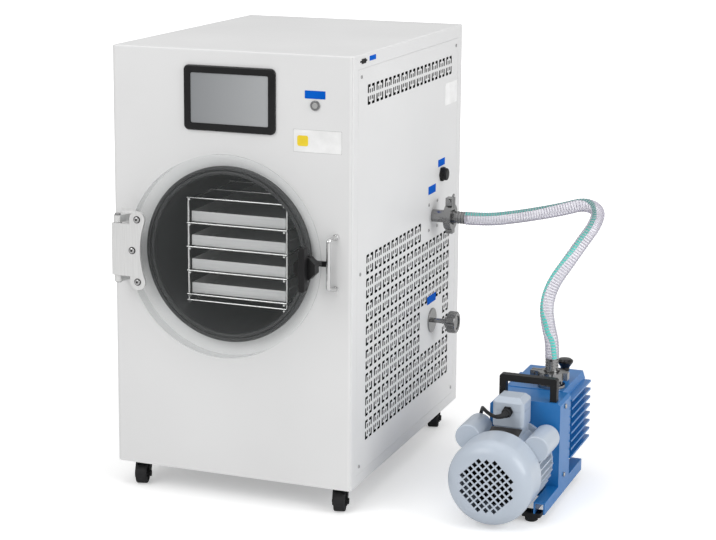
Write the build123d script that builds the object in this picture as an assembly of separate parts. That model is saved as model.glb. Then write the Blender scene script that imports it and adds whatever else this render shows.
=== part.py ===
"""Freeze dryer: cabinet on casters with a clear round door, joined by a hose to a vacuum pump.

Working frame: floor at z = 0, cabinet centred on x = y = 0, front towards -Y, millimetres.
Every exported piece is then moved so that the origin is the middle of the bounding box, on the floor.
"""
from build123d import *
import math
import os

# ---------------------------------------------------------------- driving dimensions
# cabinet
CABINET_WIDTH = 495.0
CABINET_DEPTH = 650.0
CABINET_HEIGHT = 830.0
CASTER_HEIGHT = 50.0
SHEET = 1.5                    # cabinet sheet metal
FRONT_FOLD_R = 8.0             # radius of the upright front edges
TOP_EDGE_R = 3.0
PANEL_FLANGE_SIDE = 27.0       # frame left round a side panel, front and back
PANEL_FLANGE_TOP = 27.0
PANEL_FLANGE_BOTTOM = 22.0
PANEL_GAP = 0.4                # seam round each inset panel
LIP = 20.0                     # width of the lip that carries a panel
SCREW_INSET = 15.0
SCREW_HEAD_R = 3.6
SCREW_HEAD_T = 1.6
FLOOR_FLANGE = 25.0
POWER_INLET_X = -120.0
POWER_INLET_Z = 400.0
SADDLE_Y = (-180.0, 60.0)      # the two beams under the chamber
CONTACT = 0.3                  # clearance between pieces that only rest near each other
RUNNING = 0.05                 # radial clearance of a running fit

# door, chamber and shelves
DOOR_X = -1.0
DOOR_DROP = 388.0              # door's middle below the cabinet's top
LID_R = 194.0
LID_T = 28.0
LID_FRONT = 44.0               # lid's front face, ahead of the cabinet's front
LID_CHAMFER = 1.0
GASKET_R = 170.0
GASKET_BORE_R = 154.0
CHAMBER_R = 154.0              # inside radius
CHAMBER_WALL = 3.0
CHAMBER_DEPTH = 440.0
FLANGE_R = 179.0
FLANGE_STEP = 10.0             # flange's shoulder behind the front sheet
FLANGE_T = 12.0
FLANGE_PROUD = 5.0
RACK_X = 0.5
RACK_SPREAD = 103.5            # upright's axis from the rack's middle
RACK_LOW_DROP = 106.0          # axis of the lowest cross wires, below the door's middle
RACK_TOP_RISE = 97.0           # axis of the top wires, above the door's middle
WELD = 0.01                    # gap between welded wires or sheets
RACK_DEPTH = 380.0
RACK_FRONT_INSET = 25.0        # rack's front behind the cabinet's front
UPRIGHT_R = 2.5
SIDE_WIRE_R = 2.0
CROSS_WIRE_R = 1.6
CROSS_WIRES = 5                # wires across each shelf
TRAY_COUNT = 4
TRAY_PITCH = 47.2
TRAY_WIDTH = 197.0
TRAY_LENGTH = 360.0
TRAY_HEIGHT = 20.5
TRAY_SHEET = 1.0
FIRST_TRAY_DROP = 93.0         # underside of the lowest tray, below the door's middle

# hinge and latch
HINGE_X = -220.0
HINGE_AHEAD = 38.0             # hinge axis ahead of the cabinet's front
HINGE_PIN_R = 4.0
HINGE_BARREL_R = 8.0
HINGE_HALF_HEIGHT = 51.0
HINGE_PLATE_T = 5.0
HINGE_EAR_R = 16.0
HINGE_EAR_X = -173.5
HINGE_EAR_RISE = 61.0
HINGE_MIDDLE_X = -184.5
HINGE_WAIST = 5.5              # plate's edge beyond the ears' middle, where it is narrowest
HINGE_LUG = 14.0
HINGE_BASE_T = 4.0
LATCH_X = 178.0
LATCH_SHAFT_R = 6.0
KNOB_R = 21.0
KNOB_DEPTH = 20.0
GRIP_WIDTH = 12.5
GRIP_HEIGHT = 84.0
GRIP_DEPTH = 16.0
TONGUE_T = 5.0
TONGUE_WIDTH = 10.0
TONGUE_BACK = 1.0              # gap between tongue and strike bar
STRIKE_X = 208.0
STRIKE_AHEAD = 20.0
STRIKE_R = 4.2
STRIKE_HALF = 46.0
STRIKE_LEAN = 8.0
STRIKE_SPREAD = 4.0
STRIKE_BEND_R = 5.0
STRIKE_FOOT_R = 6.0

# controls
SCREEN_DROP = 92.0             # screen's middle below the cabinet's top
SCREEN_WIDTH = 188.0
SCREEN_HEIGHT = 124.0
SCREEN_CORNER_R = 10.0
SCREEN_BORDER = 14.0
SCREEN_PROUD = 5.0
SCREEN_WINDOW_R = 3.0
SCREEN_CASE_EDGE = 6.0         # display's case beyond the glass, behind the front sheet
SCREEN_CASE_DEPTH = 24.0
GLASS_BEHIND = 1.5
BUTTON_X = 173.0
BUTTON_DROP = 94.0
BUTTON_R = 6.2
BUTTON_RING_R = 9.5
BUTTON_TRAVEL = 2.5
BUTTON_PROUD = 3.0

# side panel: vent tiles
VENT_PITCH = 46.7
VENT_COLUMNS = 11
VENT_ROWS = 8
VENT_TILE_WIDTH = 37.7
VENT_TILE_HEIGHT = 38.7
VENT_ARM_WIDE = 14.6
VENT_ARM_TALL = 16.4
VENT_SLOT = 4.8
VENT_FIRST_Y = -249.0
VENT_FIRST_Z = 129.0
VENT_BAND_DROP = 99.0          # lone upper row of tiles, below the cabinet's top

# vacuum port, drain valve and gland on the right side
PORT_BEHIND = 34.7             # port's axis behind the drum's inner back
PORT_RISE = 5.0                # port's axis above the door's middle
PORT_TUBE_R = 13.0
PORT_TUBE_BORE_R = 11.0
PORT_REACH = 38.0              # tube's end beyond the side panel
PORT_SCREW = 27.0              # half the spacing of the plate's screws
PORT_PLATE_R = 40.0
PORT_PLATE_T = 3.0
OUTLET_X = 100.0               # where the tube leaves the drum's back
OUTLET_BEND_R = 25.0
KF_R = 20.0
KF_T = 6.0
CLAMP_R = 27.0
CLAMP_WIDTH = 15.0
CLAMP_BOLT_REACH = 35.0        # clamp bolt's axis from the tube's axis
CLAMP_BOLT_R = 2.5
CLAMP_EAR_HALF = 10.0
CLAMP_LUG_REACH = 34.0
WING_SPAN = 11.0               # wing nut's half width
BARB_R = 13.0
BARB_COLLAR_R = 14.5
BARB_COLLAR = 8.0
BARB_LENGTH = 34.0
BARB_RIB = 6.0
BARB_RIBS = 4
DRAIN_Y = 146.0
DRAIN_Z = 272.0
DRAIN_FLANGE_R = 26.0
DRAIN_STEM_R = 5.0
DRAIN_REACH = 38.0
DRAIN_KNOB_R = 23.0
DRAIN_KNOB_T = 19.0
GLAND_Y = 198.0
GLAND_RISE = 79.0              # above the port
GLAND_R = 16.0
GLAND_DEPTH = 14.0

# casters
CASTER_IN_X = 36.0             # pivot from the cabinet's side
CASTER_IN_Y = 44.0             # pivot from the cabinet's front or back
CASTER_TRAIL = 20.0
CASTER_TURN = -75.0            # direction in which the wheels trail, degrees from +X
WHEEL_R = 20.0
WHEEL_WIDTH = 23.0
AXLE_R = 3.0
CASTER_PIN_R = 5.0
CASTER_PLATE_T = 3.0

# vacuum pump
PUMP_X = 510.0                 # middle of the motor
PUMP_Y = -125.0                # front of the pump's bracket
RAIL_OUT_RIGHT = 90.0
RAIL_OUT_LEFT = 76.0
RAIL_WIDTH = 22.0
RAIL_HEIGHT = 23.0
RAIL_FRONT = 98.0              # rail's front end ahead of the bracket
RAIL_REAR = 182.0              # rail's rear end behind the bracket's front
RAIL_SHEET = 3.0
PUMP_FOOT_H = 18.0             # floor to the rail
PUMP_FOOT_R = 12.5
PUMP_FOOT_INSET = 14.0
PUMP_FOOT_INWARD = 18.0        # foot's axis from the rail's middle
FOOT_TAB_T = 8.0               # tab that carries a foot beside its rail
FOOT_TAB_HALF = 13.0
BRACKET_MID = 18.5             # bracket and tank sit off the motor's axis
BRACKET_WIDTH = 137.0
BRACKET_DEPTH = 80.0
BRACKET_TOP = 207.0
BRACKET_CHAMFER = 14.0
MOTOR_Z = 91.0
MOTOR_R = 68.0
MOTOR_FIN_R = 81.0
MOTOR_FLANGE_R = 78.0
MOTOR_FINS = 40
COVER_R = 82.5
COVER_REAR = 100.0             # cover's rear edge ahead of the bracket
COVER_DEPTH = 84.0
COVER_ROUND = 30.0
COVER_T = 2.0
SPIGOT_REACH = 8.0             # motor's seat inside the cover
COVER_PITCH = 11.0             # grille holes
COVER_HOLE = 8.0
COVER_GRILLE_R = 54.0
SHAFT_R = 7.0
FAN_R = 66.0
FAN_BLADES = 6
CAPACITOR_R = 25.0
CAPACITOR_LEFT = 64.0          # axes from the motor's middle
CAPACITOR_LEFT_Z = 152.0
CAPACITOR_RIGHT = 70.0
CAPACITOR_RIGHT_Z = 145.0
CAPACITOR_LENGTH = 95.0
TERMINAL_MID = 3.0
TERMINAL_WIDTH = 62.0
TERMINAL_DEPTH = 57.0
TERMINAL_AHEAD = 60.0          # box's front ahead of the bracket
TERMINAL_LOW = 170.0
TERMINAL_TOP = 226.0
TERMINAL_CORNER_R = 8.0
PLATE_SLOPE_Z = (158.0, 168.0)  # slope in front of the box, for a rating plate
PUMP_GLAND_Z = 200.0
PUMP_GLAND_R = 11.0
PUMP_GLAND_DEPTH = 17.0
GLAND_OFF = 3.0                # gland's axis from the motor's middle
TERMINAL_CHAMFER = 10.0
CAPACITOR_GAP = 0.6            # behind the fan cover
HANDLE_MID = 23.0
HANDLE_WIDTH = 114.0
HANDLE_RISE = 45.5
HANDLE_THICK = 13.0
TANK_LENGTH = 160.0
TANK_WIDTH = 120.0
TANK_BOTTOM = 60.0
TANK_TOP = 208.0
FIN_COUNT = 8
FIN_PITCH = 16.5
FIN_FIRST_Z = 75.0
FIN_T = 4.0
FIN_REACH = 14.0
INTAKE_X = 43.0                # intake's axis from the motor's middle
INTAKE_Y = 107.0               # behind the bracket's front
CAP_X = 55.0
CAP_Y = 165.0
CAP_R = 16.0
CAP_SPIGOT = 18.0              # height of the exhaust spigot

# hose and cord
HOSE_R = 14.0
CORD_R = 3.5
COIL_X = 430.0
COIL_Y = 200.0
COIL_R = 38.0                  # middle of the turns
COIL_HALF_WIDTH = 7.0          # four turns, two high and two wide
COIL_HEIGHT = 14.0
PLUG_LENGTH = 38.0
PLUG_WIDTH = 28.0
PLUG_HEIGHT = 20.0

# ---------------------------------------------------------------- derived places
BOTTOM = CASTER_HEIGHT
TOP = BOTTOM + CABINET_HEIGHT
SCREEN_Z = TOP - SCREEN_DROP
BUTTON_Z = TOP - BUTTON_DROP
VENT_BAND_Z = TOP - VENT_BAND_DROP
DOOR_Z = TOP - DOOR_DROP
RACK_LOW_WIRE = DOOR_Z - RACK_LOW_DROP
RACK_TOP_WIRE = DOOR_Z + RACK_TOP_RISE
FIRST_TRAY_Z = DOOR_Z - FIRST_TRAY_DROP
PORT_Z = DOOR_Z + PORT_RISE
GLAND_Z = PORT_Z + GLAND_RISE
HALF_W = CABINET_WIDTH / 2
HALF_D = CABINET_DEPTH / 2
FRONT = -HALF_D
PANEL_HALF = HALF_D - PANEL_FLANGE_SIDE
PANEL_LOW = BOTTOM + PANEL_FLANGE_BOTTOM
PANEL_HIGH = TOP - PANEL_FLANGE_TOP
LID_BACK_Y = FRONT - LID_FRONT + LID_T
LID_FRONT_Y = FRONT - LID_FRONT
FLANGE_FRONT_Y = FRONT - FLANGE_PROUD
CHAMBER_BACK_Y = FLANGE_FRONT_Y + CHAMBER_DEPTH
PORT_Y = CHAMBER_BACK_Y + PORT_BEHIND
HINGE_Y = FRONT - HINGE_AHEAD
RACK_FRONT_Y = FRONT + RACK_FRONT_INSET
PORT_END_X = HALF_W + PORT_REACH
MOTOR_REAR_Y = PUMP_Y
COVER_REAR_Y = PUMP_Y - COVER_REAR
COVER_FRONT_Y = COVER_REAR_Y - COVER_DEPTH
BRACKET_X = PUMP_X + BRACKET_MID
TERMINAL_FRONT_Y = PUMP_Y - TERMINAL_AHEAD
CAPACITOR_Y0 = COVER_REAR_Y + CAPACITOR_GAP
CORD_EXIT = (PUMP_X + GLAND_OFF, TERMINAL_FRONT_Y - PUMP_GLAND_DEPTH, PUMP_GLAND_Z)
TANK_FRONT_Y = PUMP_Y + BRACKET_DEPTH
TANK_REAR_Y = TANK_FRONT_Y + TANK_LENGTH
INTAKE_AT = (PUMP_X + INTAKE_X, PUMP_Y + INTAKE_Y)
INTAKE_NECK = 24.0             # tank top to the clamped flanges
INTAKE_FLANGE_Z = TANK_TOP + INTAKE_NECK


# ---------------------------------------------------------------- small helpers
def block(x0, x1, y0, y1, z0, z1):
    """Box between two corners."""
    size = Box(abs(x1 - x0), abs(y1 - y0), abs(z1 - z0))
    return Pos((x0 + x1) / 2, (y0 + y1) / 2, (z0 + z1) / 2) * size


def rod(start, end, radius):
    """Solid cylinder between two points."""
    a, b = Vector(*start), Vector(*end)
    plane = Plane(origin=a, z_dir=(b - a).normalized())
    return extrude(plane * Circle(radius), (b - a).length)


def ring(start, end, radius, bore):
    """Cylinder with a bore between two points."""
    a, b = Vector(*start), Vector(*end)
    plane = Plane(origin=a, z_dir=(b - a).normalized())
    return extrude(plane * (Circle(radius) - Circle(bore)), (b - a).length)


def disc_y(x, z, radius, y0, y1):
    """Cylinder along Y."""
    return rod((x, y0, z), (x, y1, z), radius)


def fuse(pieces):
    """One solid from pieces that touch or overlap."""
    whole = pieces[0]
    for piece in pieces[1:]:
        whole = whole + piece
    return whole


def turned(shape, x, y, degrees):
    """Shape turned about the upright line at x, y."""
    return Pos(x, y, 0) * Rot(0, 0, degrees) * Pos(-x, -y, 0) * shape


# ---------------------------------------------------------------- cabinet
def side_pocket(side):
    """Opening in a side wall for the inset panel, as a cutting block."""
    outer = side * (HALF_W + 1)
    inner = side * (HALF_W - SHEET)
    return block(inner, outer, -PANEL_HALF, PANEL_HALF, PANEL_LOW, PANEL_HIGH)


def side_lip(side):
    """Frame behind a side wall that the inset panel rests on."""
    near = side * (HALF_W - SHEET)
    far = side * (HALF_W - 2 * SHEET)
    frame = block(near, far, -HALF_D + SHEET, HALF_D - SHEET, BOTTOM + SHEET, TOP - SHEET)
    window = block(near + side, far - side, -PANEL_HALF + LIP, PANEL_HALF - LIP,
                   PANEL_LOW + LIP, PANEL_HIGH - LIP)
    return frame - window


def cabinet_shell():
    outer = block(-HALF_W, HALF_W, -HALF_D, HALF_D, BOTTOM, TOP)
    uprights = outer.edges().filter_by(Axis.Z).group_by(Axis.Y)[0]
    outer = fillet(uprights, FRONT_FOLD_R)
    rim = outer.faces().sort_by(Axis.Z)[-1].edges()
    outer = fillet(rim, TOP_EDGE_R)
    inner = block(-HALF_W + SHEET, HALF_W - SHEET, -HALF_D + SHEET, HALF_D - SHEET,
                  BOTTOM + SHEET, TOP - SHEET)
    inner = fillet(inner.edges().filter_by(Axis.Z).group_by(Axis.Y)[0], FRONT_FOLD_R - SHEET)
    shell = outer - inner
    shell -= block(-HALF_W + FLOOR_FLANGE, HALF_W - FLOOR_FLANGE, -HALF_D + FLOOR_FLANGE,
                   HALF_D - FLOOR_FLANGE, BOTTOM - 1, BOTTOM + SHEET + 1)
    for side in (-1, 1):
        shell = shell - side_pocket(side) + side_lip(side)
    # rear wall: pocket and lip for the rear panel
    rear_half = HALF_W - PANEL_FLANGE_SIDE
    shell -= block(-rear_half, rear_half, HALF_D - SHEET, HALF_D + 1, PANEL_LOW, PANEL_HIGH)
    lip = block(-HALF_W + 2 * SHEET, HALF_W - 2 * SHEET, HALF_D - 2 * SHEET, HALF_D - SHEET,
                BOTTOM + SHEET, TOP - SHEET)
    lip -= block(-rear_half + LIP, rear_half - LIP, HALF_D - 3 * SHEET, HALF_D,
                 PANEL_LOW + LIP, PANEL_HIGH - LIP)
    shell += lip
    # front openings: chamber flange, screen, button, with the flange's hole kept round
    shell -= disc_y(DOOR_X, DOOR_Z, FLANGE_R - FLANGE_STEP, FRONT - 1, FRONT + SHEET + 1)
    inset = SCREEN_BORDER / 2      # the opening ends under the middle of the bezel's border
    shell -= block(-SCREEN_WIDTH / 2 + inset, SCREEN_WIDTH / 2 - inset, FRONT - 1,
                   FRONT + SHEET + 1, SCREEN_Z - SCREEN_HEIGHT / 2 + inset,
                   SCREEN_Z + SCREEN_HEIGHT / 2 - inset)
    shell -= disc_y(BUTTON_X, BUTTON_Z, BUTTON_R + 1, FRONT - 1, FRONT + SHEET + 1)
    return shell


def vent_corner(y, z, flip_y, flip_z):
    """One L-shaped slot: its outer corner at y, z, arms pointing by the flips."""
    wide = Pos(flip_y * VENT_ARM_WIDE / 2, flip_z * VENT_SLOT / 2) * Rectangle(VENT_ARM_WIDE, VENT_SLOT)
    tall = Pos(flip_y * VENT_SLOT / 2, flip_z * VENT_ARM_TALL / 2) * Rectangle(VENT_SLOT, VENT_ARM_TALL)
    return Pos(y, z) * (wide + tall)


def vent_tiles():
    """Low corner of each vent tile, as (y, z), round the port and the drain valve."""
    blank = {(column, 7) for column in (7, 8, 9)}
    blank |= {(column, row) for column in (7, 8, 9) for row in (2, 3)}
    tiles = [(VENT_FIRST_Y + column * VENT_PITCH, VENT_BAND_Z) for column in range(VENT_COLUMNS)]
    for column in range(VENT_COLUMNS):
        for row in range(VENT_ROWS):
            if (column, row) not in blank:
                tiles.append((VENT_FIRST_Y + column * VENT_PITCH, VENT_FIRST_Z + row * VENT_PITCH))
    return tiles


def panel_outline(half_length):
    """Flat inset panel, drawn with its middle at the panel opening's middle."""
    height = PANEL_HIGH - PANEL_LOW - 2 * PANEL_GAP
    return Pos(0, (PANEL_LOW + PANEL_HIGH) / 2) * Rectangle(2 * (half_length - PANEL_GAP), height)


def right_panel():
    sketch = panel_outline(PANEL_HALF)
    slots = []
    for y, z in vent_tiles():
        slots.append(vent_corner(y, z, 1, 1))
        slots.append(vent_corner(y + VENT_TILE_WIDTH, z, -1, 1))
        slots.append(vent_corner(y, z + VENT_TILE_HEIGHT, 1, -1))
        slots.append(vent_corner(y + VENT_TILE_WIDTH, z + VENT_TILE_HEIGHT, -1, -1))
    slots.append(Pos(PORT_Y, PORT_Z) * Circle(PORT_TUBE_R + CONTACT))
    slots.append(Pos(DRAIN_Y, DRAIN_Z) * Circle(DRAIN_STEM_R + 3))
    slots.append(Pos(GLAND_Y, GLAND_Z) * Circle(GLAND_R - 5))
    sketch = sketch - slots
    plane = Plane(origin=(HALF_W - SHEET, 0, 0), x_dir=(0, 1, 0), z_dir=(1, 0, 0))
    return extrude(plane * sketch, SHEET)


def left_panel():
    plane = Plane(origin=(-HALF_W, 0, 0), x_dir=(0, 1, 0), z_dir=(1, 0, 0))
    return extrude(plane * panel_outline(PANEL_HALF), SHEET)


def rear_panel():
    plane = Plane(origin=(0, HALF_D, 0), x_dir=(1, 0, 0), z_dir=(0, -1, 0))
    sketch = panel_outline(HALF_W - PANEL_FLANGE_SIDE)
    slots = []
    for row in range(10):
        slots.append(Pos(0, BOTTOM + 110 + row * 14) * SlotOverall(220, 5))
    slots.append(Pos(POWER_INLET_X, POWER_INLET_Z) * Rectangle(28, 22))
    return extrude(plane * (sketch - slots), SHEET)


def power_inlet():
    """Bare three-pin inlet on the rear panel."""
    x, z, y = POWER_INLET_X, POWER_INLET_Z, HALF_D
    body = block(x - 24, x + 24, y, y + 3, z - 16, z + 16)
    body += block(x - 13.5, x + 13.5, y - 20, y + 3, z - 10.5, z + 10.5)
    body -= block(x - 12, x + 12, y - 15, y + 4, z - 8.5, z + 8.5)
    for dx, dz in ((-7, -2), (7, -2), (0, 3)):
        body += block(x + dx - 1, x + dx + 1, y - 16, y - 2, z + dz - 2.5, z + dz + 2.5)
    return body


def side_screw_places():
    """(y, z) of the screws on each side panel."""
    y = PANEL_HALF - SCREW_INSET
    low, high = PANEL_LOW + SCREW_INSET, PANEL_HIGH - SCREW_INSET
    middle = (low + high) / 2 + 2
    return [(-y, low), (-y, middle), (-y, high), (y, low), (y, middle), (y, high)]


def screw_x(x, y, z, side):
    """Domed screw head on a face at x, with a cross recess."""
    head = rod((x, y, z), (x + side * SCREW_HEAD_T, y, z), SCREW_HEAD_R)
    head = fillet(head.edges().sort_by(Axis.X)[-1 if side > 0 else 0], 0.9)
    slot = block(x + side * 0.8, x + side * 3, y - 0.5, y + 0.5, z - 2, z + 2)
    cross = block(x + side * 0.8, x + side * 3, y - 2, y + 2, z - 0.5, z + 0.5)
    return head - slot - cross


def panel_screws():
    heads = []
    for side in (-1, 1):
        for y, z in side_screw_places():
            heads.append(screw_x(side * HALF_W, y, z, side))
    for dy in (-PORT_SCREW, PORT_SCREW):
        for dz in (-PORT_SCREW, PORT_SCREW):
            heads.append(screw_x(HALF_W, PORT_Y + dy, PORT_Z + dz, 1))
    rear_half = HALF_W - PANEL_FLANGE_SIDE
    for x in (-rear_half + SCREW_INSET, rear_half - SCREW_INSET):
        for z in (PANEL_LOW + SCREW_INSET, PANEL_HIGH - SCREW_INSET):
            heads.append(rod((x, HALF_D, z), (x, HALF_D + SCREW_HEAD_T, z), SCREW_HEAD_R))
    return Compound(children=heads)


def inner_frame():
    """Base pan with four posts and two saddles that carry the chamber."""
    pan_z = BOTTOM + SHEET
    pan = block(-HALF_W + 2 * SHEET, HALF_W - 2 * SHEET, FRONT + 2 * SHEET, HALF_D - 2 * SHEET,
                pan_z, pan_z + 2)
    pan = fillet(pan.edges().filter_by(Axis.Z), FRONT_FOLD_R)
    pieces = [pan]
    post = 24.0
    saddle_half = 150.0
    for y in SADDLE_Y:
        for side in (-1, 1):
            x = side * (saddle_half - post / 2)
            pieces.append(block(x - post / 2, x + post / 2, y - post / 2, y + post / 2,
                                pan_z, DOOR_Z - 110))
        beam = block(-saddle_half, saddle_half, y - post / 2, y + post / 2, DOOR_Z - 175, DOOR_Z - 110)
        beam -= disc_y(DOOR_X, DOOR_Z, CHAMBER_R + CHAMBER_WALL + CONTACT, y - post, y + post)
        pieces.append(beam)
    return fuse(pieces)


def vacuum_chamber():
    """Front flange, drum and flat back, one welded piece, with a hole for the outlet tube."""
    shoulder = FRONT + SHEET
    flange = disc_y(DOOR_X, DOOR_Z, FLANGE_R - FLANGE_STEP - CONTACT, FLANGE_FRONT_Y, shoulder)
    flange += disc_y(DOOR_X, DOOR_Z, FLANGE_R, shoulder, FLANGE_FRONT_Y + FLANGE_T + CHAMBER_WALL)
    back = CHAMBER_BACK_Y + CHAMBER_WALL
    drum = disc_y(DOOR_X, DOOR_Z, CHAMBER_R + CHAMBER_WALL, FLANGE_FRONT_Y, back)
    bore = disc_y(DOOR_X, DOOR_Z, CHAMBER_R, FLANGE_FRONT_Y - 1, CHAMBER_BACK_Y)
    outlet = disc_y(OUTLET_X, PORT_Z, PORT_TUBE_BORE_R, CHAMBER_BACK_Y - 1, back + 1)
    return flange + drum - bore - outlet


def door_gasket():
    """Black ring between flange and lid, with a rounded inner lip."""
    outer = disc_y(DOOR_X, DOOR_Z, GASKET_R, LID_BACK_Y + CONTACT, FLANGE_FRONT_Y)
    bore = disc_y(DOOR_X, DOOR_Z, GASKET_BORE_R, LID_BACK_Y - 1, FLANGE_FRONT_Y + 1)
    return outer - bore


# ---------------------------------------------------------------- shelves
def tray_z(index):
    """Underside of a tray, counted from the lowest."""
    return FIRST_TRAY_Z + index * TRAY_PITCH


def upright_places():
    """(x, y) of the rack's four uprights."""
    front = RACK_FRONT_Y + 2 * CROSS_WIRE_R + WELD + UPRIGHT_R
    rear = RACK_FRONT_Y + RACK_DEPTH - UPRIGHT_R
    return [(RACK_X + side * RACK_SPREAD, y) for side in (-1, 1) for y in (front, rear)]


def wire_frame_at(z):
    """Cross wires at height z, lying on two side wires welded inside the uprights."""
    y0, y1 = RACK_FRONT_Y, RACK_FRONT_Y + RACK_DEPTH
    side_x = RACK_SPREAD - UPRIGHT_R - SIDE_WIRE_R - WELD
    side_z = z - CROSS_WIRE_R - SIDE_WIRE_R - WELD
    wires = []
    for side in (-1, 1):
        x = RACK_X + side * side_x
        wires.append(rod((x, y0, side_z), (x, y1, side_z), SIDE_WIRE_R))
    first, last = y0 + CROSS_WIRE_R, y1 - 2 * UPRIGHT_R - CROSS_WIRE_R - WELD
    for k in range(CROSS_WIRES):
        y = first + (last - first) * k / (CROSS_WIRES - 1)
        reach = RACK_SPREAD + (UPRIGHT_R / 2 if k == 0 else -UPRIGHT_R - WELD)
        wires.append(rod((RACK_X - reach, y, z), (RACK_X + reach, y, z), CROSS_WIRE_R))
    return wires


def shelf_rack():
    """Welded wire rack standing on the drum's wall: four shelves, bottom and top frames."""
    reach = CHAMBER_R - CONTACT
    wires = []
    for x, y in upright_places():
        outer = abs(x - DOOR_X) + UPRIGHT_R
        foot = DOOR_Z - math.sqrt(reach ** 2 - outer ** 2)
        wires.append(rod((x, y, foot), (x, y, RACK_TOP_WIRE + CROSS_WIRE_R), UPRIGHT_R))
    levels = [RACK_LOW_WIRE, RACK_TOP_WIRE]
    levels += [tray_z(index) - CROSS_WIRE_R for index in range(TRAY_COUNT)]
    for z in levels:
        wires += wire_frame_at(z)
    return Compound(children=wires)


def tray(index):
    """Open tray of thin sheet, resting on a shelf's cross wires: bottom and four welded walls."""
    z = tray_z(index)
    y0 = RACK_FRONT_Y + (RACK_DEPTH - TRAY_LENGTH) / 2
    y1 = y0 + TRAY_LENGTH
    x0 = RACK_X - TRAY_WIDTH / 2
    x1 = x0 + TRAY_WIDTH
    low, high = z + TRAY_SHEET + WELD, z + TRAY_HEIGHT
    inner = TRAY_SHEET + WELD
    return Compound(children=[
        block(x0, x1, y0, y1, z, z + TRAY_SHEET),
        block(x0, x0 + TRAY_SHEET, y0, y1, low, high),
        block(x1 - TRAY_SHEET, x1, y0, y1, low, high),
        block(x0 + inner, x1 - inner, y0, y0 + TRAY_SHEET, low, high),
        block(x0 + inner, x1 - inner, y1 - TRAY_SHEET, y1, low, high),
    ])


def compressor():
    """Refrigeration compressor: sealed can on four feet, on the base pan."""
    z = BOTTOM + SHEET + 2
    can = Pos(-90, 190, z + 15 + 85) * Cylinder(75, 170)
    can = fillet(can.edges(), 25)
    plate = block(-180, 0, 110, 270, z + 8, z + 18)
    feet = [Pos(x, y, z + 4) * Cylinder(10, 8) for x in (-165, -15) for y in (125, 255)]
    return fuse([can, plate] + feet)


# ---------------------------------------------------------------- door
def hinge_plate_sketch():
    """Plate seen from the front: square part, two round ears, one concave arc from ear to ear."""
    left = HINGE_X - HINGE_BARREL_R
    reach = 22.0
    rise, ear_r, waist = HINGE_EAR_RISE, HINGE_EAR_R, HINGE_WAIST
    arc_r = (rise ** 2 + waist ** 2 - ear_r ** 2) / (2 * (ear_r - waist))
    touch_x = ear_r * (arc_r + waist) / (arc_r + ear_r)
    touch_rise = rise * arc_r / (arc_r + ear_r)
    body = Pos((left + HINGE_EAR_X) / 2, DOOR_Z) * Rectangle(HINGE_EAR_X - left, 2 * HINGE_HALF_HEIGHT)
    body += Pos(HINGE_EAR_X + touch_x / 2, DOOR_Z) * Rectangle(touch_x, 2 * touch_rise)
    body -= Pos(HINGE_EAR_X + waist + arc_r, DOOR_Z) * Circle(arc_r)
    for side in (-1, 1):
        ear = Pos(HINGE_EAR_X, DOOR_Z + side * rise) * Circle(ear_r)
        neck = Pos(HINGE_EAR_X - ear_r / 2, DOOR_Z + side * (rise - reach / 2))
        body += ear + neck * Rectangle(ear_r, reach)
    return body


def hinge_plate():
    """Leaf on the lid's front, rolled into a barrel round the pin."""
    plane = Plane(origin=(0, LID_FRONT_Y, 0), x_dir=(1, 0, 0), z_dir=(0, -1, 0))
    leaf = extrude(plane * hinge_plate_sketch(), HINGE_PLATE_T)
    low, high = DOOR_Z - HINGE_HALF_HEIGHT, DOOR_Z + HINGE_HALF_HEIGHT
    barrel = rod((HINGE_X, HINGE_Y, low), (HINGE_X, HINGE_Y, high), HINGE_BARREL_R)
    bore = rod((HINGE_X, HINGE_Y, low - 1), (HINGE_X, HINGE_Y, high + 1), HINGE_PIN_R + RUNNING)
    plate = leaf + barrel - bore
    for x, z in hinge_screw_places():
        plate -= disc_y(x, z, 3.3, LID_FRONT_Y - HINGE_PLATE_T - 1, LID_FRONT_Y + 1)
    return plate


def hinge_screw_places():
    return [(HINGE_EAR_X, DOOR_Z + HINGE_EAR_RISE), (HINGE_MIDDLE_X, DOOR_Z),
            (HINGE_EAR_X, DOOR_Z - HINGE_EAR_RISE)]


def door_screws():
    """Socket screws through the leaf into the lid."""
    heads = []
    face = LID_FRONT_Y - HINGE_PLATE_T
    for x, z in hinge_screw_places():
        head = disc_y(x, z, 5.5, face - 3, face)
        head = fillet(head.edges().sort_by(Axis.Y)[0], 1.2)
        socket = Plane(origin=(x, face - 4, z), x_dir=(1, 0, 0), z_dir=(0, 1, 0)) * RegularPolygon(2.3, 6)
        shank = disc_y(x, z, 3.0, face, LID_FRONT_Y + 12)
        heads.append(head + shank - extrude(socket, 3))
    return Compound(children=heads)


def hinge_bracket():
    """Base plate on the cabinet's front with a lug above and one below the barrel."""
    low, high = DOOR_Z - HINGE_HALF_HEIGHT, DOOR_Z + HINGE_HALF_HEIGHT
    base = block(HINGE_X - 12, HINGE_X + 24, FRONT - HINGE_BASE_T, FRONT,
                 low - HINGE_LUG - 6, high + HINGE_LUG + 6)
    bracket = base
    for z0, z1 in ((low - HINGE_LUG, low - 0.5), (high + 0.5, high + HINGE_LUG)):
        bracket += rod((HINGE_X, HINGE_Y, z0), (HINGE_X, HINGE_Y, z1), HINGE_BARREL_R)
        arm = Polyline((HINGE_X - HINGE_BARREL_R, HINGE_Y), (HINGE_X + HINGE_BARREL_R, HINGE_Y),
                       (HINGE_X + 22, FRONT - 1), (HINGE_X - HINGE_BARREL_R, FRONT - 1), close=True)
        bracket += extrude(Plane.XY.offset(z0) * make_face(arm), z1 - z0)
        bracket -= rod((HINGE_X, HINGE_Y, z0 - 1), (HINGE_X, HINGE_Y, z1 + 1), HINGE_PIN_R)
    return bracket


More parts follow.
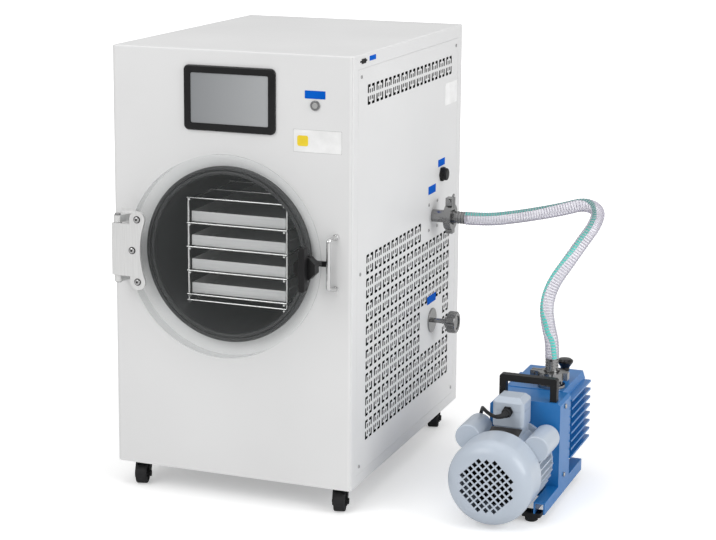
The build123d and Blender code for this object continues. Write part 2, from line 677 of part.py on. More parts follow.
def hinge_pin():
    """Headed pin through both lugs."""
    low, high = DOOR_Z - HINGE_HALF_HEIGHT - HINGE_LUG, DOOR_Z + HINGE_HALF_HEIGHT + HINGE_LUG
    pin = rod((HINGE_X, HINGE_Y, low), (HINGE_X, HINGE_Y, high), HINGE_PIN_R)
    pin += rod((HINGE_X, HINGE_Y, high), (HINGE_X, HINGE_Y, high + 3), HINGE_PIN_R + 2)
    pin += rod((HINGE_X, HINGE_Y, low - 2), (HINGE_X, HINGE_Y, low), HINGE_PIN_R + 1.5)
    return pin


def door_lid():
    """Thick clear disc with a hole for the latch's shaft and holes for the hinge screws."""
    lid = disc_y(DOOR_X, DOOR_Z, LID_R, LID_FRONT_Y, LID_BACK_Y)
    lid = chamfer(lid.edges(), LID_CHAMFER)
    lid -= disc_y(LATCH_X, DOOR_Z, LATCH_SHAFT_R + RUNNING, LID_FRONT_Y - 1, LID_BACK_Y + 1)
    for x, z in hinge_screw_places():
        lid -= disc_y(x, z, 3.0, LID_FRONT_Y - 1, LID_FRONT_Y + 12)
    return lid


def latch_handle():
    """Black knob: eight-sided hub on the lid, upright grip in front of it."""
    face = LID_FRONT_Y - CONTACT
    hub_plane = Plane(origin=(LATCH_X, face, DOOR_Z), x_dir=(1, 0, 0), z_dir=(0, -1, 0))
    hub = extrude(hub_plane * RegularPolygon(KNOB_R, 8, major_radius=False, rotation=22.5), KNOB_DEPTH)
    grip_back = face - KNOB_DEPTH
    grip = block(LATCH_X - GRIP_WIDTH / 2, LATCH_X + GRIP_WIDTH / 2, grip_back - GRIP_DEPTH, grip_back,
                 DOOR_Z - GRIP_HEIGHT / 2, DOOR_Z + GRIP_HEIGHT / 2)
    grip = fillet(grip.edges().filter_by(Axis.Y), 3)
    grip = fillet(grip.faces().sort_by(Axis.Y)[0].edges(), 2)
    return hub + grip - disc_y(LATCH_X, DOOR_Z, LATCH_SHAFT_R, face - KNOB_DEPTH + 5, face + 1)


def latch_tongue():
    """Shaft through the lid with a flat tongue behind it that reaches to the strike bar."""
    back = LID_BACK_Y + 0.5
    tip = STRIKE_X - STRIKE_R - TONGUE_BACK
    shaft = disc_y(LATCH_X, DOOR_Z, LATCH_SHAFT_R, LID_FRONT_Y - CONTACT - KNOB_DEPTH + 5, back + TONGUE_T)
    arm = block(LATCH_X, tip, back, back + TONGUE_T, DOOR_Z - TONGUE_WIDTH / 2, DOOR_Z + TONGUE_WIDTH / 2)
    root = disc_y(LATCH_X, DOOR_Z, LATCH_SHAFT_R + 0.8, back, back + TONGUE_T)
    return shaft + arm + root


def latch_strike():
    """Bent bar that stands off the cabinet's front on two feet."""
    bar_y = FRONT - STRIKE_AHEAD
    foot_x = STRIKE_X + STRIKE_LEAN
    sunk = 0.25                 # share of a leg that is drawn past the front, then cut off flush
    top, low = DOOR_Z + STRIKE_HALF, DOOR_Z - STRIKE_HALF
    rise = STRIKE_SPREAD * (1 + sunk)
    root_x = foot_x + STRIKE_LEAN * sunk
    root_y = FRONT + STRIKE_AHEAD * sunk
    path = FilletPolyline((root_x, root_y, top + rise), (STRIKE_X, bar_y, top), (STRIKE_X, bar_y, low),
                          (root_x, root_y, low - rise), radius=STRIKE_BEND_R)
    bar = sweep(Plane(origin=path @ 0, z_dir=path % 0) * Circle(STRIKE_R), path=path)
    for z in (top + STRIKE_SPREAD, low - STRIKE_SPREAD):
        bar += disc_y(foot_x, z, STRIKE_FOOT_R, FRONT - 2, FRONT + 1)
    return bar - block(foot_x - 30, foot_x + 30, FRONT, FRONT + 30, low - 40, top + 40)


# ---------------------------------------------------------------- controls
def screen_bezel():
    plane = Plane(origin=(0, FRONT, SCREEN_Z), x_dir=(1, 0, 0), z_dir=(0, -1, 0))
    frame = extrude(plane * RectangleRounded(SCREEN_WIDTH, SCREEN_HEIGHT, SCREEN_CORNER_R), SCREEN_PROUD)
    frame = fillet(frame.faces().sort_by(Axis.Y)[0].edges(), 2.5)
    window = RectangleRounded(SCREEN_WIDTH - 2 * SCREEN_BORDER, SCREEN_HEIGHT - 2 * SCREEN_BORDER,
                              SCREEN_WINDOW_R)
    return frame - extrude(plane.offset(-1) * window, SCREEN_PROUD + 3)


def screen_glass():
    face = FRONT - SCREEN_PROUD + GLASS_BEHIND
    width = SCREEN_WIDTH - 2 * SCREEN_BORDER - 2 * CONTACT
    height = SCREEN_HEIGHT - 2 * SCREEN_BORDER - 2 * CONTACT
    plane = Plane(origin=(0, face, SCREEN_Z), x_dir=(1, 0, 0), z_dir=(0, 1, 0))
    glass = extrude(plane * RectangleRounded(width, height, SCREEN_WINDOW_R), FRONT + SHEET - face)
    case_w, case_h = width / 2 + SCREEN_CASE_EDGE, height / 2 + SCREEN_CASE_EDGE
    case = block(-case_w, case_w, FRONT + SHEET, FRONT + SHEET + SCREEN_CASE_DEPTH,
                 SCREEN_Z - case_h, SCREEN_Z + case_h)
    return glass + case


def button_ring():
    body = disc_y(BUTTON_X, BUTTON_Z, BUTTON_RING_R, FRONT - BUTTON_PROUD, FRONT)
    body = fillet(body.edges().sort_by(Axis.Y)[0], 1)
    body += disc_y(BUTTON_X, BUTTON_Z, BUTTON_R + 1, FRONT, FRONT + 26)
    bore = disc_y(BUTTON_X, BUTTON_Z, BUTTON_R - 0.6 + RUNNING, FRONT - BUTTON_PROUD - 1, FRONT + 20)
    return body - bore


def push_button():
    face = FRONT - BUTTON_PROUD - 0.2
    cap = disc_y(BUTTON_X, BUTTON_Z, BUTTON_R - 0.6, face, FRONT + 20 - BUTTON_TRAVEL - 0.5)
    return fillet(cap.edges().sort_by(Axis.Y)[0], 0.6)


def usb_socket():
    """Small socket on the top flange, right side, between two tiny screws."""
    x, y, z = HALF_W, -PANEL_HALF + 26, TOP - PANEL_FLANGE_TOP / 2
    body = block(x, x + 1.2, y - 10, y + 10, z - 4.5, z + 4.5)
    body -= block(x + 0.3, x + 2, y - 6.5, y + 6.5, z - 2.6, z + 2.6)
    body += block(x, x + 0.8, y - 5, y + 5, z - 0.6, z + 1.2)
    for dy in (-13.5, 13.5):
        body += rod((x, y + dy, z), (x + 1.0, y + dy, z), 1.8)
        body += block(x, x + 0.4, y + dy - 4.5, y + dy + 4.5, z - 1.5, z + 1.5)
    return body


# ---------------------------------------------------------------- side fittings
def vacuum_port():
    """Tube from the drum's back, round a bend and out through the side panel to a small flange."""
    start = (PORT_END_X, PORT_Y, PORT_Z)
    path = FilletPolyline(start, (OUTLET_X, PORT_Y, PORT_Z),
                          (OUTLET_X, CHAMBER_BACK_Y + CHAMBER_WALL, PORT_Z), radius=OUTLET_BEND_R)
    section = Plane(origin=start, z_dir=(-1, 0, 0)) * (Circle(PORT_TUBE_R) - Circle(PORT_TUBE_BORE_R))
    tube = sweep(section, path=path)
    flange = ring((PORT_END_X - KF_T / 2, PORT_Y, PORT_Z), start, KF_R, PORT_TUBE_BORE_R)
    plate_x = HALF_W - SHEET
    plate = ring((plate_x - PORT_PLATE_T, PORT_Y, PORT_Z), (plate_x, PORT_Y, PORT_Z),
                 PORT_PLATE_R, PORT_TUBE_BORE_R)
    return tube + flange + plate


def kf_barb(origin, direction):
    """Small flange with a collar and a ribbed spigot, from origin along direction."""
    plane = Plane(origin=origin, z_dir=direction)
    piece = extrude(plane * Circle(KF_R), KF_T / 2)
    piece += extrude(plane * Circle(BARB_COLLAR_R), KF_T / 2 + BARB_COLLAR)
    piece += extrude(plane * Circle(BARB_R - 1.4), BARB_LENGTH)
    for k in range(BARB_RIBS):
        start = plane.offset(KF_T / 2 + BARB_COLLAR + k * BARB_RIB)
        piece += extrude(start * Circle(BARB_R), BARB_RIB / 2)
    return piece - extrude(plane.offset(-1) * Circle(PORT_TUBE_BORE_R), BARB_LENGTH + 2)


def hose_barbs():
    port = kf_barb((PORT_END_X, PORT_Y, PORT_Z), (1, 0, 0))
    intake = kf_barb((INTAKE_AT[0], INTAKE_AT[1], INTAKE_FLANGE_Z), (0, 0, 1))
    return Compound(children=[port, intake])


def port_clamp_frame():
    """Middle of the port's clamp: X towards its bolt, Y towards its nut, Z along the tube."""
    return Plane(origin=(PORT_END_X, PORT_Y, PORT_Z), x_dir=(0, 0, 1), z_dir=(-1, 0, 0))


def intake_clamp_frame():
    return Plane(origin=(INTAKE_AT[0], INTAKE_AT[1], INTAKE_FLANGE_Z), x_dir=(-1, 0, 0), z_dir=(0, 0, -1))


def clamp_seat(frame):
    """Plane of the ear's face under the wing nut, its Z along the bolt."""
    origin = frame.from_local_coords((CLAMP_BOLT_REACH, CLAMP_EAR_HALF, 0))
    return Plane(origin=origin, x_dir=frame.x_dir, z_dir=frame.y_dir)


def kf_clamp(frame):
    """Ring clamp round two flanges, with a hinge lug on one side and an ear and bolt on the other."""
    half = CLAMP_WIDTH / 2
    ear_end = CLAMP_BOLT_REACH + CLAMP_BOLT_R + 3.5
    ear_mid = (ear_end + CLAMP_R - 5) / 2
    outline = Circle(CLAMP_R) + Pos(ear_mid, 0) * Rectangle(ear_end - CLAMP_R + 5, 2 * CLAMP_EAR_HALF)
    outline += Pos(-(CLAMP_LUG_REACH + CLAMP_R - 5) / 2, 0) * Rectangle(CLAMP_LUG_REACH - CLAMP_R + 5, 16)
    body = extrude(frame.offset(-half) * outline, CLAMP_WIDTH)
    body -= extrude(frame.offset(-half - 1) * Circle(PORT_TUBE_R + 3), CLAMP_WIDTH + 2)
    body -= extrude(frame.offset(-KF_T / 2 - CONTACT) * Circle(KF_R + CONTACT), KF_T + 2 * CONTACT)
    # split between the two halves
    body -= extrude(frame.offset(-half - 1) * Pos(ear_end, 0) * Rectangle(2 * (ear_end - KF_R + 1), 2.4),
                    CLAMP_WIDTH + 2)
    seat = clamp_seat(frame)
    head = extrude(seat.offset(-2 * CLAMP_EAR_HALF - 4) * RegularPolygon(4.5, 6), 4)
    return body + head + extrude(seat.offset(-2 * CLAMP_EAR_HALF) * Circle(CLAMP_BOLT_R),
                                 2 * CLAMP_EAR_HALF + 16)


def clamps():
    return Compound(children=[kf_clamp(port_clamp_frame()), kf_clamp(intake_clamp_frame())])


def wing_nut(frame):
    """Wing nut on a clamp's bolt."""
    seat = clamp_seat(frame)
    nut = extrude(seat.offset(CONTACT) * Circle(5.2), 7)
    upright = Plane(origin=seat.origin, x_dir=seat.x_dir, z_dir=frame.z_dir)
    for side in (-1, 1):
        wing = Pos(side * (WING_SPAN - 4.6), 9.5) * Rot(0, 0, side * -25) * RectangleRounded(5, 9.5, 2.3)
        nut += extrude(upright.offset(-1.3) * wing, 2.6)
    return nut - extrude(seat.offset(-1) * Circle(CLAMP_BOLT_R + RUNNING), 30)


def drain_body():
    """Round flange on the side panel with the valve body behind it."""
    flange = rod((HALF_W, DRAIN_Y, DRAIN_Z), (HALF_W + 3, DRAIN_Y, DRAIN_Z), DRAIN_FLANGE_R)
    flange = fillet(flange.edges().sort_by(Axis.X)[-1], 1)
    neck = rod((HALF_W - 30, DRAIN_Y, DRAIN_Z), (HALF_W, DRAIN_Y, DRAIN_Z), DRAIN_STEM_R + 3 - CONTACT)
    valve = rod((HALF_W - 60, DRAIN_Y, DRAIN_Z), (HALF_W - 30, DRAIN_Y, DRAIN_Z), 16)
    bore = rod((HALF_W - 25, DRAIN_Y, DRAIN_Z), (HALF_W + 5, DRAIN_Y, DRAIN_Z), DRAIN_STEM_R + RUNNING)
    return flange + neck + valve - bore


def drain_handle():
    """Stem and round hand disc of the drain valve."""
    knob_x = HALF_W + DRAIN_REACH
    stem = rod((HALF_W - 24, DRAIN_Y, DRAIN_Z), (knob_x, DRAIN_Y, DRAIN_Z), DRAIN_STEM_R)
    collar = rod((knob_x - 8, DRAIN_Y, DRAIN_Z), (knob_x, DRAIN_Y, DRAIN_Z), 9)
    disc = rod((knob_x, DRAIN_Y, DRAIN_Z), (knob_x + DRAIN_KNOB_T, DRAIN_Y, DRAIN_Z), DRAIN_KNOB_R)
    disc = fillet(disc.edges(), 3)
    dish = rod((knob_x + DRAIN_KNOB_T - 2, DRAIN_Y, DRAIN_Z), (knob_x + DRAIN_KNOB_T + 1, DRAIN_Y, DRAIN_Z), 15)
    knob = disc - dish
    for k in range(8):
        angle = math.radians(k * 45)
        y = DRAIN_Y + (DRAIN_KNOB_R + 1.5) * math.cos(angle)
        z = DRAIN_Z + (DRAIN_KNOB_R + 1.5) * math.sin(angle)
        knob -= rod((knob_x - 1, y, z), (knob_x + DRAIN_KNOB_T + 1, y, z), 4)
    return stem + collar + knob


def cabinet_gland():
    """Hexagonal blanking gland on the side panel."""
    plane = Plane(origin=(HALF_W, GLAND_Y, GLAND_Z), x_dir=(0, 1, 0), z_dir=(1, 0, 0))
    hexagon = extrude(plane * RegularPolygon(GLAND_R, 6), GLAND_DEPTH * 0.45)
    dome = extrude(plane * Circle(GLAND_R - 3), GLAND_DEPTH)
    dome = fillet(dome.edges().sort_by(Axis.X)[-1], 3)
    spigot = extrude(plane.offset(-SHEET - 8) * Circle(GLAND_R - 5 - CONTACT), SHEET + 9)
    return hexagon + dome + spigot


def pump_gland():
    """Cord gland on the front of the terminal box."""
    x, y, z = CORD_EXIT
    plane = Plane(origin=(x, TERMINAL_FRONT_Y, z), x_dir=(1, 0, 0), z_dir=(0, -1, 0))
    nut = extrude(plane * RegularPolygon(PUMP_GLAND_R, 6), 6)
    cap = extrude(plane * Circle(PUMP_GLAND_R - 2.5), PUMP_GLAND_DEPTH)
    cap = fillet(cap.edges().sort_by(Axis.Y)[0], 2.5)
    return nut + cap


def cable_glands():
    return Compound(children=[cabinet_gland(), pump_gland()])


# ---------------------------------------------------------------- casters
def caster_places():
    x, y = HALF_W - CASTER_IN_X, HALF_D - CASTER_IN_Y
    return {"front_left": (-x, -y), "front_right": (x, -y), "rear_left": (-x, y), "rear_right": (x, y)}


def caster_plates():
    """Top plates, one solid per caster, bored for the swivel pin."""
    plates = []
    for x, y in caster_places().values():
        plate = Pos(x, y, BOTTOM - CASTER_PLATE_T / 2) * Box(56, 44, CASTER_PLATE_T)
        plate = fillet(plate.edges().filter_by(Axis.Z), 5)
        race = Pos(x, y, BOTTOM - CASTER_PLATE_T - 1) * Cylinder(16, 2)
        plates.append(plate + race - Pos(x, y, BOTTOM - 4) * Cylinder(CASTER_PIN_R + RUNNING, 20))
    return Compound(children=plates)


def caster_fork(x, y):
    """Swivel fork with its pin and the wheel's axle, trailing towards +X before it is turned."""
    under = BOTTOM - CASTER_PLATE_T - 2 - CONTACT
    crown = Pos(x, y, under - 2) * Cylinder(19, 4)
    pin = Pos(x, y, (under + BOTTOM - 0.5) / 2) * Cylinder(CASTER_PIN_R, BOTTOM - 0.5 - under)
    wheel_x = x + CASTER_TRAIL
    inner = WHEEL_WIDTH / 2 + 0.6
    fork = crown + pin
    for side in (-1, 1):
        leg = Polyline((x - 15, under), (x + 15, under), (wheel_x + 8, WHEEL_R + 3),
                       (wheel_x + 7, WHEEL_R - 7), (wheel_x - 7, WHEEL_R - 7), close=True)
        plane = Plane(origin=(0, y + side * inner, 0), x_dir=(1, 0, 0), z_dir=(0, -1, 0))
        slab = extrude(plane * make_face(leg), 2.5 if side < 0 else -2.5)
        fork += slab
    fork += block(x - 15, x + 15, y - inner - 2.5, y + inner + 2.5, under - 3, under)
    fork += rod((wheel_x, y + inner + 2.5, WHEEL_R), (wheel_x, y + inner + 5.5, WHEEL_R), 6)
    fork += rod((wheel_x, y - inner - 3.5, WHEEL_R), (wheel_x, y + inner + 3.5, WHEEL_R), AXLE_R)
    return turned(fork, x, y, CASTER_TURN)


def caster_wheel(x, y):
    wheel_x = x + CASTER_TRAIL
    half = WHEEL_WIDTH / 2
    tyre = ring((wheel_x, y - half, WHEEL_R), (wheel_x, y + half, WHEEL_R), WHEEL_R, AXLE_R + RUNNING)
    rims = tyre.edges().filter_by(GeomType.CIRCLE).group_by(SortBy.RADIUS)[-1]
    tyre = fillet(rims, 3)
    for side in (-1, 1):
        face = y + side * half
        tyre -= ring((wheel_x, face - side * 1.5, WHEEL_R), (wheel_x, face + side, WHEEL_R), 14, 7)
    return turned(tyre, x, y, CASTER_TURN)


# ---------------------------------------------------------------- pump
def channel(x0, x1, y0, y1, z0):
    """Rail folded from sheet, open towards the floor."""
    body = block(x0, x1, y0, y1, z0, z0 + RAIL_HEIGHT)
    return body - block(x0 + RAIL_SHEET, x1 - RAIL_SHEET, y0 - 1, y1 + 1, z0 - 1, z0 + RAIL_HEIGHT - RAIL_SHEET)


def rail_spans():
    left, right = PUMP_X - RAIL_OUT_LEFT, PUMP_X + RAIL_OUT_RIGHT
    return [(left, left + RAIL_WIDTH), (right - RAIL_WIDTH, right)]


def pump_base():
    """Two rails, cross members and the upright bracket that joins motor and tank."""
    pieces = []
    for x0, x1 in rail_spans():
        pieces.append(channel(x0, x1, PUMP_Y - RAIL_FRONT, PUMP_Y + RAIL_REAR, PUMP_FOOT_H))
    rail_top = PUMP_FOOT_H + RAIL_HEIGHT
    left, right = rail_spans()[0][0], rail_spans()[1][1]
    pieces.append(block(left, right, PUMP_Y, TANK_FRONT_Y, PUMP_FOOT_H, rail_top))
    x0, x1 = BRACKET_X - BRACKET_WIDTH / 2, BRACKET_X + BRACKET_WIDTH / 2
    x1 += RAIL_OUT_RIGHT - BRACKET_MID - BRACKET_WIDTH / 2
    upright = block(x0, x1, PUMP_Y, TANK_FRONT_Y, rail_top - 1, BRACKET_TOP)
    upright = chamfer(upright.edges().filter_by(Axis.Y).group_by(Axis.Z)[-1].sort_by(Axis.X)[0],
                      BRACKET_CHAMFER)
    upright = chamfer(upright.edges().filter_by(Axis.Y).group_by(Axis.Z)[-1].sort_by(Axis.X)[-1], 5)
    upright -= disc_y(PUMP_X, MOTOR_Z, SHAFT_R + 1, PUMP_Y - 1, PUMP_Y + 30)
    pieces.append(upright)
    return fuse(pieces)


def pump_feet():
    """Rubber feet on tabs that reach inwards under the rails' ends."""
    feet = []
    for inward, (x0, x1) in zip((1, -1), rail_spans()):
        x = (x0 + x1) / 2 + inward * PUMP_FOOT_INWARD
        outer = (x0 + x1) / 2 - inward * 2
        for y in (PUMP_Y - RAIL_FRONT + PUMP_FOOT_INSET, PUMP_Y + RAIL_REAR - PUMP_FOOT_INSET):
            tab = block(outer, x + inward * (PUMP_FOOT_R + 4), y - FOOT_TAB_HALF, y + FOOT_TAB_HALF,
                        PUMP_FOOT_H - FOOT_TAB_T, PUMP_FOOT_H)
            tab = fillet(tab.edges().filter_by(Axis.Z), 4)
            foot = Pos(x, y, (PUMP_FOOT_H - 1) / 2) * Cylinder(PUMP_FOOT_R, PUMP_FOOT_H - 1)
            foot = chamfer(foot.edges().sort_by(Axis.Z)[0], 2)
            feet.append(tab + foot)
    return Compound(children=feet)


def motor_housing():
    """Finned motor shell between the fan cover and the bracket, with seats for the boxes."""
    front = COVER_REAR_Y + CONTACT
    shell = disc_y(PUMP_X, MOTOR_Z, MOTOR_R, front, MOTOR_REAR_Y)
    fins = []
    for k in range(MOTOR_FINS):
        angle = 360.0 * k / MOTOR_FINS
        if 35 < angle < 145:
            continue
        fin = block(PUMP_X + MOTOR_R - 2, PUMP_X + MOTOR_FIN_R, front, MOTOR_REAR_Y - 8,
                    MOTOR_Z - 1.2, MOTOR_Z + 1.2)
        fins.append(Pos(PUMP_X, 0, MOTOR_Z) * Rot(0, -angle, 0) * Pos(-PUMP_X, 0, -MOTOR_Z) * fin)
    spigot_y = COVER_REAR_Y - SPIGOT_REACH
    spigot = disc_y(PUMP_X, MOTOR_Z, COVER_R - COVER_T - CONTACT, spigot_y, front + 1)
    flange = disc_y(PUMP_X, MOTOR_Z, MOTOR_FLANGE_R, MOTOR_REAR_Y - 8, MOTOR_REAR_Y)
    body = shell.fuse(*fins) + spigot + flange
    # seat under the terminal box
    seat_x0 = PUMP_X + TERMINAL_MID - TERMINAL_WIDTH / 2 + 4
    seat_x1 = seat_x0 + TERMINAL_WIDTH - 8
    body += block(seat_x0, seat_x1, TERMINAL_FRONT_Y + 4, TERMINAL_FRONT_Y + TERMINAL_DEPTH - 4,
                  MOTOR_Z + 40, TERMINAL_LOW)
    low, high = PLATE_SLOPE_Z
    slope = Polyline((front, MOTOR_Z + 40), (TERMINAL_FRONT_Y + 5, MOTOR_Z + 40),
                     (TERMINAL_FRONT_Y + 5, high), (TERMINAL_FRONT_Y, high), (front, low), close=True)
    side_view = Plane(origin=(seat_x0, 0, 0), x_dir=(0, 1, 0), z_dir=(1, 0, 0))
    body += extrude(side_view * make_face(slope), seat_x1 - seat_x0)
    for cx, cz in capacitor_places():
        # saddle from the shell out to the capacitor
        middle_x, middle_z = (cx + PUMP_X) / 2, (cz + MOTOR_Z) / 2
        angle = math.degrees(math.atan2(cz - MOTOR_Z, cx - PUMP_X))
        saddle = Rot(0, -angle, 0) * Box(40, CAPACITOR_LENGTH - 30, 22)
        saddle = Pos(middle_x + 8 * math.cos(math.radians(angle)), CAPACITOR_Y0 + CAPACITOR_LENGTH / 2,
                     middle_z + 8 * math.sin(math.radians(angle))) * saddle
        body += saddle
        body -= disc_y(cx, cz, CAPACITOR_R, CAPACITOR_Y0 - 5, CAPACITOR_Y0 + CAPACITOR_LENGTH + 5)
    for x0, x1 in rail_spans():
        # fins cut back over the rails
        body -= block(x0 - 1, x1 + 1, PUMP_Y - RAIL_FRONT - 1, MOTOR_REAR_Y + 1,
                      0, PUMP_FOOT_H + RAIL_HEIGHT + 1)
    body -= disc_y(PUMP_X, MOTOR_Z, SHAFT_R + RUNNING, spigot_y - 1, MOTOR_REAR_Y + 1)
    return body


def capacitor_places():
    """(x, z) of the two capacitor housings."""
    return [(PUMP_X - CAPACITOR_LEFT, CAPACITOR_LEFT_Z), (PUMP_X + CAPACITOR_RIGHT, CAPACITOR_RIGHT_Z)]


def capacitors():
    cans = []
    for x, z in capacitor_places():
        can = disc_y(x, z, CAPACITOR_R, CAPACITOR_Y0, CAPACITOR_Y0 + CAPACITOR_LENGTH)
        rear = can.edges().sort_by(Axis.Y)[-1]
        can = fillet(rear, CAPACITOR_R * 0.7)
        can = fillet(can.edges().sort_by(Axis.Y)[0], 3)
        cans.append(can)
    return Compound(children=cans)


def fan_cover():
    """Domed sheet cover with a grille of square holes turned by 45 degrees."""
    cover = disc_y(PUMP_X, MOTOR_Z, COVER_R, COVER_FRONT_Y, COVER_REAR_Y)
    cover = fillet(cover.edges().sort_by(Axis.Y)[0], COVER_ROUND)
    inside = disc_y(PUMP_X, MOTOR_Z, COVER_R - COVER_T, COVER_FRONT_Y + COVER_T, COVER_REAR_Y + 1)
    inside = fillet(inside.edges().sort_by(Axis.Y)[0], COVER_ROUND - COVER_T)
    cover = cover - inside
    holes = [Circle(4.0)]
    reach = int(COVER_GRILLE_R / COVER_PITCH) + 1
    for i in range(-reach, reach + 1):
        for j in range(-reach, reach + 1):
            distance = COVER_PITCH * math.hypot(i, j)
            if COVER_PITCH / 2 < distance < COVER_GRILLE_R:
                holes.append(Rot(0, 0, 45) * Pos(i * COVER_PITCH, j * COVER_PITCH)
                             * Rectangle(COVER_HOLE, COVER_HOLE))
    plane = Plane(origin=(PUMP_X, COVER_FRONT_Y - 1, MOTOR_Z), x_dir=(1, 0, 0), z_dir=(0, 1, 0))
    cutter = Sketch() + holes
    return cover - extrude(plane * cutter, COVER_T + 2)


def motor_fan():
    """Motor shaft with the cooling fan on its front end."""
    hub_y = COVER_REAR_Y - 34.0
    shaft = disc_y(PUMP_X, MOTOR_Z, SHAFT_R, hub_y - 4, MOTOR_REAR_Y + 20)
    hub = disc_y(PUMP_X, MOTOR_Z, 16, hub_y, hub_y + 22)
    plate = disc_y(PUMP_X, MOTOR_Z, FAN_R - 8, hub_y + 19, hub_y + 22)
    fan = shaft + hub + plate
    for k in range(FAN_BLADES):
        blade = block(PUMP_X + 12, PUMP_X + FAN_R, hub_y + 2, hub_y + 22, MOTOR_Z - 1.2, MOTOR_Z + 1.2)
        fan += Pos(PUMP_X, 0, MOTOR_Z) * Rot(0, 360.0 * k / FAN_BLADES, 0) * Pos(-PUMP_X, 0, -MOTOR_Z) * blade
    return fan


def terminal_box():
    """Box with a chamfered lid on top of the motor."""
    x0 = PUMP_X + TERMINAL_MID - TERMINAL_WIDTH / 2
    y0 = TERMINAL_FRONT_Y
    box = block(x0, x0 + TERMINAL_WIDTH, y0, y0 + TERMINAL_DEPTH, TERMINAL_LOW, TERMINAL_TOP)
    box = chamfer(box.faces().sort_by(Axis.Z)[-1].edges(), TERMINAL_CHAMFER)
    box = fillet(box.edges().filter_by(Axis.Z), TERMINAL_CORNER_R)
    seam_z = TERMINAL_TOP - 26.0
    seam = block(x0 - 1, x0 + TERMINAL_WIDTH + 1, y0 - 1, y0 + TERMINAL_DEPTH + 1, seam_z, seam_z + 1)
    seam -= block(x0 + 0.8, x0 + TERMINAL_WIDTH - 0.8, y0 + 0.8, y0 + TERMINAL_DEPTH - 0.8,
                  seam_z - 1, seam_z + 2)
    return box - seam


def pump_handle():
    """Carrying handle across the bracket's top."""
    x0 = PUMP_X + HANDLE_MID - HANDLE_WIDTH / 2
    x1 = x0 + HANDLE_WIDTH
    y0 = PUMP_Y + 6
    y1 = y0 + HANDLE_THICK + 3
    top = BRACKET_TOP + HANDLE_RISE
    outer = block(x0, x1, y0, y1, BRACKET_TOP, top)
    outer = fillet(outer.edges().filter_by(Axis.Y).group_by(Axis.Z)[-1], 5)
    inner = block(x0 + HANDLE_THICK, x1 - HANDLE_THICK, y0 - 1, y1 + 1, BRACKET_TOP - 1, top - HANDLE_THICK)
    return outer - inner


def oil_tank():
    """Oil tank with long fins on both sides and a sloped edge along the top."""
    x0, x1 = BRACKET_X - TANK_WIDTH / 2, BRACKET_X + TANK_WIDTH / 2
    tank = block(x0, x1, TANK_FRONT_Y, TANK_REAR_Y, TANK_BOTTOM, TANK_TOP)
    tank = chamfer(tank.edges().filter_by(Axis.Y).group_by(Axis.Z)[-1], 15, 5)
    fins = []
    for k in range(FIN_COUNT):
        z = FIN_FIRST_Z + k * FIN_PITCH
        fins.append(block(x0 - FIN_REACH, x1 + FIN_REACH, TANK_FRONT_Y + 3, TANK_REAR_Y - 8,
                          z - FIN_T / 2, z + FIN_T / 2))
    tank = tank.fuse(*fins)
    # rear cover and bolts
    cover = block(x0 + 6, x1 - 6, TANK_REAR_Y, TANK_REAR_Y + 8, TANK_BOTTOM + 6, TANK_TOP - 8)
    cover = fillet(cover.edges().filter_by(Axis.Y), 6)
    tank += cover
    for x in (x0 + 16, x1 - 16):
        for z in (TANK_BOTTOM + 16, TANK_TOP - 20):
            tank += disc_y(x, z, 4, TANK_REAR_Y + 8, TANK_REAR_Y + 11)
    # round oil level window
    window_z = TANK_BOTTOM + 45
    tank += ring((BRACKET_X, TANK_REAR_Y + 8, window_z), (BRACKET_X, TANK_REAR_Y + 12, window_z), 17, 13)
    # exhaust spigot under the cap
    tank += rod((PUMP_X + CAP_X, PUMP_Y + CAP_Y, TANK_TOP), (PUMP_X + CAP_X, PUMP_Y + CAP_Y, TANK_TOP + CAP_SPIGOT), 9)
    return tank - rod((PUMP_X + CAP_X, PUMP_Y + CAP_Y, TANK_TOP + 2),
                      (PUMP_X + CAP_X, PUMP_Y + CAP_Y, TANK_TOP + CAP_SPIGOT + 1), 6)


def intake_neck():
    """Bolted ring and short tube from the tank's top up to the clamped flange."""
    x, y = INTAKE_AT
    base = ring((x, y, TANK_TOP), (x, y, TANK_TOP + 6), 27, PORT_TUBE_BORE_R)
    tube = ring((x, y, TANK_TOP), (x, y, INTAKE_FLANGE_Z), PORT_TUBE_R, PORT_TUBE_BORE_R)
    flange = ring((x, y, INTAKE_FLANGE_Z - KF_T / 2), (x, y, INTAKE_FLANGE_Z), KF_R, PORT_TUBE_BORE_R)
    neck = base + tube + flange
    for k in range(4):
        angle = math.radians(45 + 90 * k)
        bx, by = x + 21.5 * math.cos(angle), y + 21.5 * math.sin(angle)
        neck += rod((bx, by, TANK_TOP + 6), (bx, by, TANK_TOP + 9), 3.2)
    return neck


def exhaust_cap():
    """Black mushroom cap with a stem in the exhaust spigot."""
    x, y = PUMP_X + CAP_X, PUMP_Y + CAP_Y
    z = TANK_TOP + CAP_SPIGOT + CONTACT
    stem = rod((x, y, TANK_TOP + 4), (x, y, z + 8), 6 - RUNNING)
    profile = Polyline((x, z), (x + 9, z), (x + 9, z + 7), (x + CAP_R, z + 18), (x + CAP_R, z + 21),
                       (x + CAP_R - 4, z + 24), (x, z + 25), close=True)
    head = revolve(Plane(origin=(0, y, 0), x_dir=(1, 0, 0), z_dir=(0, -1, 0)) * make_face(profile),
                   Axis((x, y, 0), (0, 0, 1)))
    return stem + head


